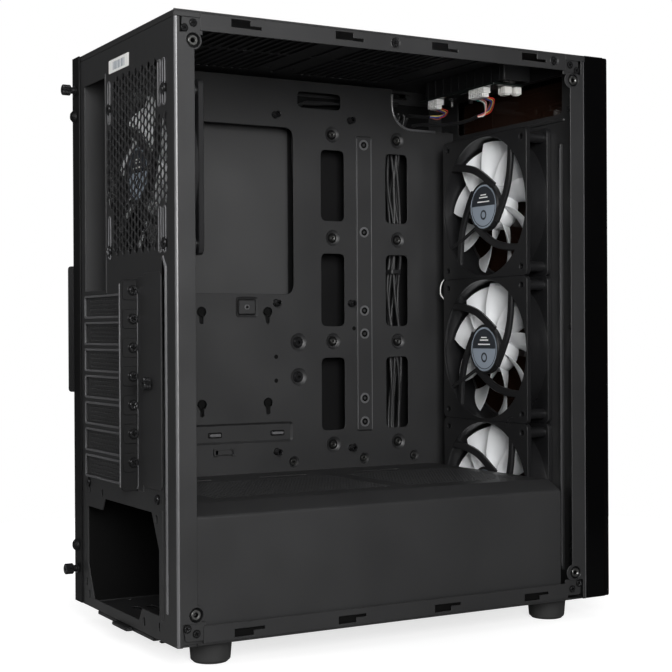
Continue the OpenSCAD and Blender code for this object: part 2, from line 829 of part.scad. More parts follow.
module front_panel_frame() {
    back_d = chassis_d + slip;
    ring_d = front_d - slip - 4;
    color(black) in_case() {
        difference() {
            block(0, back_d, 0, case_w, ring_d, chassis_h);
            block(3, back_d - 1, 3, case_w - 6, ring_d + 2, chassis_h - 6);
            for (i = [0 : 5]) block(22 + i * 27, back_d + 4, -1, 20, 8, chassis_h + 2);
        }
        for (z = [0, chassis_h - 8]) block(8, back_d, z == 0 ? 3 : z - 3, case_w - 16, 3, 8);
        // Snap pins in the chassis
        for (x = [14, 189], z = [40, 214, 388]) {
            rod_y(x, back_d - 6, z, 3.2, 7);
            block(x < 100 ? 2 : x - 4, back_d, z - 5, 16, 3, 10);
        }
    }
}

module front_glass() {
    color([0.08, 0.05, 0.04]) in_case()
        plate_y(chassis_d + front_d - 4, 4) rounded_rect(0, 0, case_w, chassis_h, 2);
}

// ---------- Right side panel ----------

module panel_hook(start, z) {
    lip_x = chassis_w - sheet - 1.4;
    block(lip_x, start + 15, z, case_w - lip_x, 6, 3);
    block(lip_x, start + 15, z, 1, 13, 3);
}

module right_side_panel() {
    lift = 0.3;
    color(steel) in_case() difference() {
        union() {
            plate_x(case_w - sheet, sheet) {
                rect(-sheet - slip, lift, chassis_d - 0.5 + sheet + slip, chassis_h - 2 * lift);
                rounded_rect(-5.5, 164.7, 12, 99.3, 4);
            }
            plate_y(-sheet - slip, sheet) rect(187, lift, case_w - 187, chassis_h - 2 * lift);
            for (d = hook_slots) {
                panel_hook(d, 4.6);
                panel_hook(d, chassis_h - 7.6);
            }
        }
        for (z = side_screw_z) rod_y(side_screw_x, -4, z, screw_hole_r, 5);
    }
}

module thumbscrew(x, z, seat_d, neck_l, head_r, head_l) {
    color(black) in_case() difference() {
        union() {
            rod_y(x, seat_d - neck_l - head_l, z, head_r, head_l);
            rod_y(x, seat_d - neck_l - 0.5, z, 2.7, neck_l + 0.5);
            rod_y(x, seat_d - 1, z, shaft_r, 9);
        }
        block(x - 2.4, seat_d - neck_l - head_l - 1, z - 0.5, 4.8, 2.2, 1);
        block(x - 0.5, seat_d - neck_l - head_l - 1, z - 2.4, 1, 2.2, 4.8);
    }
}

module side_thumbscrew_upper() { thumbscrew(side_screw_x, side_screw_z[1], -sheet - 2 * slip, 4, 4.2, 6.5); }
module side_thumbscrew_lower() { thumbscrew(side_screw_x, side_screw_z[0], -sheet - 2 * slip, 4, 4.2, 6.5); }
module slot_thumbscrew() { thumbscrew(retainer_screw[0], retainer_screw[1], -sheet - slip, 0.5, 4.6, 5.2); }

// ---------- Dust filters ----------

module top_dust_filter() {
    color(black) in_case() plate_z(chassis_h + slip, 1.4) difference() {
        rounded_rect(18, 26, 166, 269, 5);
        slot_field(27, 36, 148, 252, 4, 12, 9, 4);
    }
}

module psu_dust_filter() {
    color(black) in_case() {
        plate_z(-3.4, 2.6) difference() {
            rect(45.5, 1, 111 - slip, 176);
            slot_field(53, 24, 96, 142, 3, 12, 9, 4);
        }
        block(85, -4, -3.4, 30, 6, 2.6);
    }
}

// ---------- Parts ----------

rear_panel();
top_panel();
bottom_panel();
front_bulkhead();
motherboard_tray();
psu_shroud();
drive_cage();
drive_tray_upper();
drive_tray_lower();
slot_cover_1();
slot_cover_2();
slot_cover_3();
slot_cover_4();
slot_cover_5();
slot_cover_6();
slot_cover_7();
slot_cover_screws();
slot_retainer_plate();
glass_panel_standoffs();
corner_screws();
assembly_screws();
motherboard_standoffs();
tray_screws();
foot_rear_left();
foot_rear_right();
foot_front_left();
foot_front_right();
foot_pads();
fan_frame_lower();
fan_frame_middle();
fan_frame_upper();
fan_frame_rear();
fan_rotor_lower();
fan_rotor_middle();
fan_rotor_upper();
fan_rotor_rear();
fan_bearings();
fan_labels();
front_fan_screws();
rear_fan_screws();
io_housing();
io_board();
usb_ports();
audio_jacks();
power_button();
led_button();
board_connectors();
cable_tray_front();
cable_tray_rear();
cable_tray_low();
cable_io_leads();
cable_ties();
front_panel_frame();
front_glass();
right_side_panel();
side_thumbscrew_upper();
side_thumbscrew_lower();
slot_thumbscrew();
top_dust_filter();
psu_dust_filter();
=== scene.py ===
"""Looks of a mid-tower computer case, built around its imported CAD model.

Places are given in the case's own coordinates in millimetres: x from the left face, d (depth) from the
rear face towards the front, and z from the bottom of the steel chassis. +Z is up and the front faces -Y.
"""

import math

import bmesh
import bpy
from mathutils import Matrix, Vector
from mathutils.geometry import delaunay_2d_cdt


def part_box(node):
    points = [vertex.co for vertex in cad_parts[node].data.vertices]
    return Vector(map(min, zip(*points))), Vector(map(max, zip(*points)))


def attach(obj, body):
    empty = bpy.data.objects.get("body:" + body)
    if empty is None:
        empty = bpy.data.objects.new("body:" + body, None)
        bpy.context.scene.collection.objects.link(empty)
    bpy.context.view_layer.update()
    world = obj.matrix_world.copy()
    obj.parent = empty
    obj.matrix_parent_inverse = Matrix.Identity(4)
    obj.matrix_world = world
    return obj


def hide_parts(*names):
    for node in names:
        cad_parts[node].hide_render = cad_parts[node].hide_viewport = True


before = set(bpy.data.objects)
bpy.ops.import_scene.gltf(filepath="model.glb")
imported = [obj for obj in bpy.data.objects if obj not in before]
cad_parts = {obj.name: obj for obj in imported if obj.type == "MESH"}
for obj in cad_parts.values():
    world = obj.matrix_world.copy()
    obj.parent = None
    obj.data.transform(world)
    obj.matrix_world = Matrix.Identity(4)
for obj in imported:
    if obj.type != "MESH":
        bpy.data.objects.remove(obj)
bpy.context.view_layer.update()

# ---------- Measures, from the frame ----------

MM = 0.001
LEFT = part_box("top_panel")[0].x
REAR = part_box("top_panel")[1].y
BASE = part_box("rear_panel")[0].z
ORIGIN = Vector((LEFT, REAR, BASE))


def reach(node, axis, far):
    """Distance in mm from the case's origin to a node's lower or upper side along X, Y or Z."""
    lo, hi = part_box(node)
    return abs((hi if far else lo)[axis] - ORIGIN[axis]) / MM


CASE_W = reach("front_glass", 0, True)
CHASSIS_W = reach("top_panel", 0, True)
CHASSIS_D = reach("front_bulkhead", 1, False)
CHASSIS_H = reach("top_panel", 2, True)
FRONT_END = reach("front_glass", 1, False)
FOOT_H = reach("foot_pads", 2, False)
REAR_TOP = reach("rear_panel", 2, True)
SHEET = 1.0
BULKHEAD_D = CHASSIS_D - SHEET
FOLD_R = 1.7
GAP = 0.3

FLANGE_W = 14.5
RAIL_H = 13.4
TAB_L = 18.9
TAB_D = 3.8
RIGHT_RAIL_L = BULKHEAD_D - TAB_L - FLANGE_W
TAB_Z = 4.2
TAB_H = 11.4
TAB_SCREWS = ((7.4, 12.4), (14.0, 8.5))
BOSS_D = (13.5, 337.5)
BOSS_Z = (21.3, 407.3)
BOSS_R = 6.4
HOOKS = (42, 123.6, 205.4, 287.7)
RAIL_SCREWS = (173.7, 318.9)

TRAY_X = 182
SLOT_PITCH = 20.32
SLOT_TOP = 231
SLOTS = 7
SLOT_SCREW_UP = 10.3
SLOT_SCREW_D = -3.5
COVER_T = 0.8
LEDGE_X = 70.5
IO_OPENING = (133.5, 243.2, 44.45, 158.75)
FAN_HOLES = 105
FAN_HOLE_R = 2.3
SCREW_HOLE_R = 1.6
FAN_T = 25
FRONT_FANS = {"lower": 75.9, "middle": 195.9, "upper": 315.9}
FANS = {name: (101.75, BULKHEAD_D - FAN_T, z) for name, z in FRONT_FANS.items()}
FANS["rear"] = (71.2, SHEET, 324.4)
FEET = {"rear_left": (25, 35), "rear_right": (178.5, 35), "front_left": (25, 328),
        "front_right": (178.5, 328)}
SIDE_SCREWS = ((195, 26.5), (195, 401.6))
RETAINER_SCREW = (43.5, 176)
REAR_SCREWS = ((33.4, 96.4), (171.7, 96.4))
RAIL_SCREW_DOWN = 6.9
SNAP_PINS = [(x, z) for x in (14, 189) for z in (40, 214, 388)]
USB_X = (58, 76)
AUDIO_X = (124, 137)
POWER_X = 103
LED_X = 152
STRIP_D = 317
BOARD_Z = 410
PORT_TOP = CHASSIS_H + 1 - 0.1

# ---------- Outlines in a plane ----------


def arc(u, v, r, start, end, steps=6):
    """Points on a circle from one angle to another, in degrees."""
    turn = [math.radians(start + (end - start) * i / steps) for i in range(steps + 1)]
    return [(u + r * math.cos(a), v + r * math.sin(a)) for a in turn]


def circle(u, v, r, steps=20, start=0):
    return arc(u, v, r, start, start + 360, steps)[:-1]


def rect(u, v, w, h):
    return [(u, v), (u + w, v), (u + w, v + h), (u, v + h)]


def rounded(points, radius, steps=4):
    """An outline with its corners rounded; radius is one number, or one for each corner."""
    out = []
    for i, p in enumerate(points):
        r = radius[i] if isinstance(radius, (list, tuple)) else radius
        corner = Vector(p)
        a = Vector(points[i - 1]) - corner
        b = Vector(points[(i + 1) % len(points)]) - corner
        if r <= 0:
            out.append(tuple(corner))
            continue
        cut = min(r / math.tan(a.angle(b) / 2), 0.49 * a.length, 0.49 * b.length)
        start = corner + a.normalized() * cut
        end = corner + b.normalized() * cut
        for k in range(steps + 1):
            t = k / steps
            out.append(tuple(start * (1 - t) ** 2 + corner * 2 * t * (1 - t) + end * t * t))
    return out


def rounded_rect(u, v, w, h, r, steps=4):
    return rounded(rect(u, v, w, h), r, steps)


def area(points):
    return sum(a[0] * b[1] - b[0] * a[1] for a, b in zip(points, points[1:] + points[:1])) / 2


def wound(points, positive=True):
    """The outline, running round in the wanted direction."""
    return list(points) if (area(points) > 0) == positive else list(points)[::-1]


def inset(points, amount):
    """An outline moved to its left by an amount, which is inwards where it runs anticlockwise."""
    out = []
    for i, p in enumerate(points):
        here = Vector(p)
        before = (here - Vector(points[i - 1])).normalized()
        after = (Vector(points[(i + 1) % len(points)]) - here).normalized()
        a = Vector((-before.y, before.x))
        b = Vector((-after.y, after.x))
        out.append(tuple(here + (a + b) * (amount / max(1 + a.dot(b), 0.25))))
    return out


def cross_outline(u, v, r, w, turn=0):
    """A screw head's cross-shaped recess."""
    out = []
    for k in range(4):
        a = math.radians(turn + 90 * k)
        for p in ((r, -w), (r, w), (w, w)):
            out.append((u + p[0] * math.cos(a) - p[1] * math.sin(a),
                        v + p[0] * math.sin(a) + p[1] * math.cos(a)))
    return out


# ---------- Pieces ----------

def filled(loops):
    """Triangles between the first loop and the others, as places in the joined list of their points."""
    points = [Vector(p) for loop in loops for p in loop]
    rows, start = [], 0
    for loop in loops:
        row = list(range(start, start + len(loop)))
        rows.append(row if area(loop) > 0 else row[::-1])
        start += len(loop)
    _, _, faces, first, _, covers = delaunay_2d_cdt(points, [], rows, 1, 1e-5)
    return [tuple(first[i][0] for i in f) for f, cover in zip(faces, covers) if cover == [0]]


def band(a, b, size):
    """Faces between two rings of points, which start at places a and b."""
    return [(a + i, a + (i + 1) % size, b + (i + 1) % size, b + i) for i in range(size)]


def heading(path, i):
    """Direction of a path of vectors at its point i."""
    return (path[min(i + 1, len(path) - 1)] - path[max(i - 1, 0)]).normalized()


# Places (x, d, z) from (u, v) in a plane and n along the axis across it
PLACE = {
    "x": lambda u, v, n: (n, u, v),
    "d": lambda u, v, n: (u, n, v),
    "z": lambda u, v, n: (u, v, n),
}


class Piece:
    """One visual piece: closed shells gathered into one mesh, each with one of the piece's finishes."""

    def __init__(self, name, *finishes):
        self.name = name
        self.finishes = finishes
        self.mesh = bmesh.new()
        self.shift = Vector((0, 0, 0))

    def shell(self, points, faces, finish=0):
        """A closed shell of points (x, d, z) and faces."""
        made = []
        for p in points:
            q = Vector(p) + self.shift
            made.append(self.mesh.verts.new(ORIGIN + MM * Vector((q.x, -q.y, q.z))))
        new = []
        for f in faces:
            face = self.mesh.faces.new([made[i] for i in f])
            face.material_index = finish
            face.smooth = True
            new.append(face)
        bmesh.ops.recalc_face_normals(self.mesh, faces=new)

    def panel(self, axis, n, thick, outline, holes=(), edge=0.2, finish=0):
        """A plate across an axis from n to n + thick, with chamfered edges and any holes."""
        loops = [wound(outline)] + [wound(h, False) for h in holes]
        inner = [inset(loop, edge) for loop in loops] if edge else loops
        levels = [(inner, n), (loops, n + edge), (loops, n + thick - edge), (inner, n + thick)]
        if not edge:
            levels = [levels[0], levels[3]]
        points = [PLACE[axis](u, v, level) for rows, level in levels for loop in rows for u, v in loop]
        count = sum(len(loop) for loop in loops)
        cap = filled(inner) if holes else [tuple(range(count))]
        top = count * (len(levels) - 1)
        faces = cap + [tuple(i + top for i in f) for f in cap]
        start = 0
        for loop in loops:
            for level in range(len(levels) - 1):
                low = start + level * count
                faces += band(low, low + count, len(loop))
            start += len(loop)
        self.shell(points, faces, finish)

    def slab(self, x, d, z, size_x, size_d, size_z, edge=0.3, finish=0):
        self.panel("z", z, size_z, rect(x, d, size_x, size_d), edge=edge, finish=finish)

    def lathe(self, axis, u, v, profile, sides=32, finish=0, base=0):
        """A turned shell about an axis through (u, v).

        The profile is (radius, n above base) from pole to pole, or a closed ring.
        """
        points, rows = [], []
        for r, n in profile:
            if r < 1e-6:
                rows.append([len(points)])
                points.append(PLACE[axis](u, v, base + n))
            else:
                rows.append(list(range(len(points), len(points) + sides)))
                points += [PLACE[axis](a, b, base + n) for a, b in circle(u, v, r, sides)]
        faces = []
        pairs = list(zip(rows, rows[1:]))
        if len(rows[0]) > 1:
            pairs.append((rows[-1], rows[0]))
        for a, b in pairs:
            if len(a) == 1:
                faces += [(a[0], b[i], b[(i + 1) % sides]) for i in range(sides)]
            elif len(b) == 1:
                faces += [(a[i], a[(i + 1) % sides], b[0]) for i in range(sides)]
            else:
                faces += band(a[0], b[0], sides)
        self.shell(points, faces, finish)

    def rod(self, axis, u, v, r, low, high, sides=32, finish=0):
        self.lathe(axis, u, v, [(0, low), (r, low), (r, high), (0, high)], sides, finish)

    def ring(self, axis, u, v, inner, outer, low, high, sides=32, finish=0):
        self.lathe(axis, u, v, [(inner, low), (outer, low), (outer, high), (inner, high)], sides, finish)

    def fold(self, axis, n, length, corner, into, finish=0, r=FOLD_R, thick=SHEET):
        """The rounded edge of a folded sheet: corner is its sharp corner, into the way to the material."""
        u = corner[0] + into[0] * r
        v = corner[1] + into[1] * r
        turn = [math.radians(90 * i / 5) for i in range(6)]
        outer = [(u - into[0] * r * math.cos(a), v - into[1] * r * math.sin(a)) for a in turn]
        low = r - thick
        inner = [(u - into[0] * low * math.cos(a), v - into[1] * low * math.sin(a)) for a in turn[::-1]]
        self.panel(axis, n, length, outer + inner, edge=0, finish=finish)

    def pad(self, axis, n, height, outline, slope=0.8, finish=0):
        """A raised area with sloping sides on a face at n; height is signed."""
        low = wound(outline)
        high = inset(low, slope)
        size = len(low)
        sink = -0.05 if height > 0 else 0.05
        levels = [(low, n + sink), (low, n), (high, n + height)]
        points = [PLACE[axis](u, v, level) for loop, level in levels for u, v in loop]
        faces = [tuple(range(size)), tuple(range(2 * size, 3 * size))]
        faces += band(0, size, size) + band(size, 2 * size, size)
        self.shell(points, faces, finish)

    def basin(self, axis, n, depth, outline, slope):
        """A stamped recess in a sheet, which fills a hole of the same outline; depth is signed."""
        low = wound(outline)
        high = inset(low, slope)
        size = len(low)
        levels = [(low, n), (high, n + depth), (low, n + SHEET), (high, n + depth + SHEET)]
        points = [PLACE[axis](u, v, level) for loop, level in levels for u, v in loop]
        faces = [tuple(range(size, 2 * size)), tuple(range(3 * size, 4 * size))]
        for a, b in ((0, 1), (2, 3), (0, 2)):
            faces += band(a * size, b * size, size)
        self.shell(points, faces)

    def tube(self, path, r, sides=8, finish=0):
        """A round tube along points (x, d, z)."""
        path = [Vector(p) for p in path]
        side = heading(path, 0).orthogonal()
        points = []
        for i, p in enumerate(path):
            along = heading(path, i)
            side = (side - along * side.dot(along)).normalized()
            other = along.cross(side)
            for k in range(sides):
                a = 2 * math.pi * k / sides
                points.append(p + (side * math.cos(a) + other * math.sin(a)) * r)
        faces = [tuple(range(sides)), tuple(range(len(points) - sides, len(points)))]
        for i in range(len(path) - 1):
            faces += band(i * sides, (i + 1) * sides, sides)
        self.shell(points, faces, finish)

    def screw(self, axis, u, v, n, r, height, finish=0, recess=1, turn=20):
        """A cross-head screw's head, from its seat at n; height is signed, and recess is the finish of a ring
        of painted shade round the head.
        """
        low, high = sorted((n, n + height))
        edge = min(0.3 * abs(height), 0.13 * r)
        self.panel(axis, low, high - low, circle(u, v, r, 28),
                   [cross_outline(u, v, 0.55 * r, 0.13 * r, turn)], edge=edge, finish=finish)
        floor = n + 0.15 * height
        self.panel(axis, min(n, floor), abs(floor - n), circle(u, v, 1.22 * r, 24), edge=0, finish=recess)

    def done(self, *nodes, slot, body="chassis"):
        """Makes the object, which rides on a body and stands for the CAD nodes."""
        data = bpy.data.meshes.new(self.name)
        self.mesh.to_mesh(data)
        self.mesh.free()
        for finish in self.finishes:
            data.materials.append(finish)
        data.set_sharp_from_angle(angle=math.radians(32))
        piece = bpy.data.objects.new(self.name, data)
        bpy.context.scene.collection.objects.link(piece)
        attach(piece, body)
        if nodes:
            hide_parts(*nodes)


# ---------- Finishes ----------


class Nodes:
    """A node tree, with short ways to add and join nodes."""

    def __init__(self, owner):
        owner.use_nodes = True
        self.tree = owner.node_tree

    def add(self, kind, *links, **values):
        """A new node; the links go to its first inputs, and values are its inputs or settings by name."""
        node = self.tree.nodes.new(kind)
        for key, value in values.items():
            if key in node.inputs:
                node.inputs[key].default_value = value
            else:
                setattr(node, key, value)
        for link, into in zip(links, node.inputs):
            self.join(link, into)
        return node

    def join(self, out, into):
        self.tree.links.new(out, into)

    def ramp(self, fac, *stops):
        """A colour ramp between two stops; each is (place, colour)."""
        node = self.add("ShaderNodeValToRGB", fac)
        for element, (place, colour) in zip(node.color_ramp.elements, stops):
            element.position = place
            element.color = (*colour, 1)
        return node.outputs["Color"]

    def span(self, fac, from_low, from_high, low, high):
        """The factor, mapped from one range to another."""
        ends = {"From Min": from_low, "From Max": from_high, "To Min": low, "To Max": high}
        return self.add("ShaderNodeMapRange", fac, **ends).outputs["Result"]


class Finish(Nodes):
    """A material's node tree."""

    def __init__(self, name):
        self.material = bpy.data.materials.new(name)
        super().__init__(self.material)
        self.shader = self.tree.nodes["Principled BSDF"]
        self.where = self.add("ShaderNodeTexCoord").outputs["Object"]

    def noise(self, scale, detail):
        node = self.add("ShaderNodeTexNoise", self.where, Scale=scale, Detail=detail, Roughness=0.55)
        return node.outputs["Fac"]

    def bump(self, height, distance):
        node = self.add("ShaderNodeBump", Distance=distance, Strength=1.0)
        self.join(height, node.inputs["Height"])
        self.join(node.outputs["Normal"], self.shader.inputs["Normal"])


def shade(colour, factor):
    return tuple(min(1.0, c * factor) for c in colour)


def surface(name, colour, rough, grain=900, relief=0.00003, mottle=0.12, blotch=14, **sockets):
    """A finish with a fine grain in its surface and slow changes in its colour and gloss."""
    nodes = Finish(name)
    slow = nodes.noise(blotch, 4.0)
    tone = nodes.ramp(slow, (0.3, shade(colour, 1 - mottle)), (0.7, shade(colour, 1 + mottle)))
    nodes.join(tone, nodes.shader.inputs["Base Color"])
    gloss = nodes.span(slow, 0.3, 0.7, rough * 0.9, min(1.0, rough * 1.12))
    nodes.join(gloss, nodes.shader.inputs["Roughness"])
    if relief:
        nodes.bump(nodes.noise(grain, 2.0), relief)
    for key, value in sockets.items():
        nodes.shader.inputs[key.replace("_", " ")].default_value = value
    return nodes


def coat(*measures, spec=0.5, **sockets):
    """The material of a plain surface, with surface's measures; spec is its specular level."""
    return surface(*measures, Specular_IOR_Level=spec, **sockets).material


def striped(name, colour, dark, rough, across, scale, relief):
    """A finish ribbed or woven by bands across one or two axes."""
    nodes = surface(name, colour, rough, relief=0)
    height = None
    for axis in across:
        wave = nodes.add("ShaderNodeTexWave", nodes.where, Scale=scale, Distortion=0.0, bands_direction=axis)
        ridge = wave.outputs["Fac"]
        if height:
            ridge = nodes.add("ShaderNodeMath", height, ridge, operation="MULTIPLY").outputs["Value"]
        height = ridge
    tone = nodes.ramp(height, (0.1, dark), (0.6, colour))
    nodes.join(tone, nodes.shader.inputs["Base Color"])
    nodes.bump(height, relief)
    return nodes.material


STEEL = coat("powder_coated_steel", (0.016, 0.016, 0.0165), 0.45, 1500, 0.00004, 0.1, spec=0.4)
STEEL_IN = coat("powder_coated_steel_inside", (0.015, 0.015, 0.0155), 0.47, 1500, 0.00004, 0.1, spec=0.4)
# Lighter, glossier copy of the powder coat: painted highlight on folds, rims, ribs and stamped edges
STEEL_HIGHLIGHT = coat("powder_coat_on_edges", (0.08, 0.08, 0.083), 0.34, 1500, 0.00003, 0.12)
# Near-black copy of the powder coat: painted shade on ledges, seats, tabs and flanges
STEEL_PAINTED_SHADE = coat("shaded_powder_coat", (0.003, 0.003, 0.0032), 0.5, 1500, 0.00004, 0.1, spec=0.15)
PLASTIC = coat("black_moulded_plastic", (0.009, 0.009, 0.0095), 0.42, 700, 0.00003, 0.12, spec=0.3)
# Pale copy of the powder coat: painted light
STEEL_PAINTED_LIGHT = coat("lit_powder_coat", (0.14, 0.14, 0.142), 0.5, 1500, 0.00003, 0.1)
# Slightly lighter copy of the powder coat: painted light on part of the right panel's inner face
STEEL_INSIDE_PAINTED_LIGHT = coat("lit_inside_powder_coat", (0.02, 0.02, 0.0205), 0.5, 1500, 0.00004, 0.1)
GLOSSY = coat("gloss_black_plastic", (0.001, 0.001, 0.0011), 0.12, 300, 0.00001, 0.1, spec=0.08)
FAN_PLASTIC = coat("black_fan_plastic", (0.008, 0.008, 0.0085), 0.3, 800, 0.00003, 0.15, spec=0.45)
RUBBER = coat("foot_rubber", (0.016, 0.016, 0.016), 0.75, 1100, 0.00008, 0.2)
SCREW_BLACK = coat("black_oxide_screw", (0.022, 0.022, 0.023), 0.2, 1400, 0.00002, 0.2, Metallic=0.7)
# Near-black: painted shade in recesses, under screw heads, in bores and behind openings
PAINTED_SHADE_BLACK = coat("screw_recess", (0.002, 0.002, 0.002), 0.7, 1400, 0.00002, 0.2, spec=0.08)
ZINC = coat("plated_steel", (0.55, 0.54, 0.52), 0.26, 900, 0.00002, 0.12, Metallic=1.0)
# Rougher copy of the plated steel, darkened as painted shade
DULL_ZINC_PAINTED_SHADE = coat("shaded_plated_steel", (0.16, 0.16, 0.155), 0.35, 900, 0.00002, 0.15, Metallic=1.0)
BRONZE = coat("sintered_bronze", (0.42, 0.26, 0.1), 0.35, 1600, 0.00004, 0.15, Metallic=1.0)
BLADE = coat("frosted_blade_plastic", (0.7, 0.71, 0.72), 0.34, 400, 0.00002, 0.04,
                Transmission_Weight=0.12, IOR=1.49)
FILM_PALE = coat("pale_label_film", (0.25, 0.29, 0.34), 0.35, 500, 0.00001, 0.05)
FILM_DARK = coat("dark_label_film", (0.02, 0.024, 0.03), 0.3, 500, 0.00001, 0.1)
STICKER = coat("blank_paper_sticker", (0.8, 0.8, 0.78), 0.5, 700, 0.00002, 0.04)
SOCKET_WHITE = striped("ribbed_nylon_connector", (0.8, 0.8, 0.78), (0.6, 0.6, 0.58), 0.4, "Z", 260, 0.0002)
NYLON = coat("pale_nylon", (0.6, 0.59, 0.56), 0.45, 600, 0.00003, 0.06)
JACKET = coat("cable_jacket", (0.014, 0.014, 0.0145), 0.45, 1300, 0.00005, 0.2, spec=0.2)
MESH = striped("woven_filter_mesh", (0.03, 0.03, 0.031), (0.003, 0.003, 0.003), 0.6, "XY", 450, 0.0003)
CARD = coat("circuit_board_lacquer", (0.006, 0.009, 0.008), 0.3, 260, 0.00004, 0.5, 120)
GLASS = coat("smoked_glass", (0.03, 0.014, 0.009), 0.05, 300, 0.000002, 0.1,
                Transmission_Weight=0.45, IOR=1.5)
WIRES = [
    coat("wire_" + name, colour, 0.4, 1200, 0.00003, 0.08)
    for name, colour in (
        ("red", (0.5, 0.03, 0.02)), ("pink", (0.7, 0.3, 0.26)), ("yellow", (0.65, 0.5, 0.12)),
        ("white", (0.7, 0.7, 0.68)), ("blue", (0.03, 0.06, 0.35)), ("teal", (0.03, 0.25, 0.22)),
        ("brown", (0.2, 0.05, 0.03)),
    )
]

# ---------- Chassis sheets ----------


HEX_STEP = 0.866    # distance between staggered lines, in pitches


def hex_holes(u, v, lines, count, pitch, r, upright=False):
    """Hexagonal holes in staggered lines, which run across or upright."""
    holes = []
    for i in range(lines):
        for j in range(count - i % 2):
            a, b = (i + 0.5) * pitch * HEX_STEP, (j + 0.5 + 0.5 * (i % 2)) * pitch
            holes.append(circle(u + a, v + b, r, 6) if upright else circle(u + b, v + a, r, 6, 30))
    return holes


def slot_holes(u, v, w, h, cols, pitch, slot_w, gap):
    """Rows of long slots with rounded ends over a rectangle."""
    each = (w - (cols - 1) * gap) / cols
    return [
        rounded_rect(u + i * (each + gap), v + j * pitch, each, slot_w, 0.45 * slot_w, 3)
        for j in range(int(h / pitch))
        for i in range(cols)
    ]


def apart(outline, spot):
    """Distance between a spot and the box round an outline."""
    gaps = [max(min(p[i] for p in outline) - spot[i], 0, spot[i] - max(p[i] for p in outline))
            for i in (0, 1)]
    return math.hypot(*gaps)


def hook_hole(start, low, tail):
    """A side panel's hook slot: a wide mouth with a narrow tail."""
    tail_h = 2.1
    mouth, end, high = start + 14.5, start + 23, low + 5.5
    if tail < low + 1:
        return [(start, low), (mouth - 0.5, low), (mouth - 0.5, tail), (end, tail), (end, tail + tail_h),
                (mouth, tail + tail_h), (mouth, high), (start, high)]
    return [(start, low), (mouth, low), (mouth, tail), (end, tail), (end, tail + tail_h),
            (mouth - 0.5, tail + tail_h), (mouth - 0.5, high), (start, high)]


def flange_outline(front):
    """Outline of the left upright flange, with its tab windows and the lobes round its screw posts."""
    low, high = BOSS_Z
    centre = BOSS_D[0]
    reach_in = math.degrees(math.acos((FLANGE_W - centre) / BOSS_R))
    out = [(FOLD_R, 0), (TAB_D, 0), (TAB_D, TAB_Z + TAB_H)]
    out += arc(centre, low, BOSS_R, -68, reach_in, 14)
    out += arc(centre, high, BOSS_R, -reach_in, 68, 14)
    out += [(TAB_D, CHASSIS_H - TAB_Z - TAB_H), (TAB_D, REAR_TOP), (FOLD_R, REAR_TOP)]
    return [(CHASSIS_D - d, z) for d, z in out] if front else out


def upright_flange(piece, front, seat, finish, seat_finish):
    """Left upright flange, with the dished seats of the side panel's screw posts."""
    d = BOSS_D[1] if front else BOSS_D[0]
    piece.panel("x", 0, SHEET, flange_outline(front), [circle(d, z, 5.0, 28) for z in BOSS_Z], edge=0.25,
                finish=finish)
    for z in BOSS_Z:
        piece.lathe("x", d, z, seat, finish=seat_finish)


def fan_corners(x=0, z=0):
    """Centres of a fan's four screw holes."""
    return [(x + i * FAN_HOLES / 2, z + j * FAN_HOLES / 2) for i in (-1, 1) for j in (-1, 1)]


def slot_z(k):
    """Height of an expansion slot's middle; the top one is 0."""
    return SLOT_TOP - SLOT_PITCH * k


def slot_mouth(k):
    """Opening in the rear face for one expansion slot."""
    return rounded_rect(69.5, slot_z(k) - 7.2, 108, 14.4, 1.5)


def fan_slot(x, z, rim=0):
    """Upright slot for a fan's screw, or the outline of the rim round it."""
    r = 1.4 + rim
    return rounded_rect(x - r, z - rim, 2 * r, 30 + 2 * rim, r)


PSU_MARKS = ((171.5, 90.3), (143.5, 90.3), (36.5, 82.5), (28.2, 72), (178.5, 18.5), (172.5, 9.5), (32.5, 9),
             (60, 8))


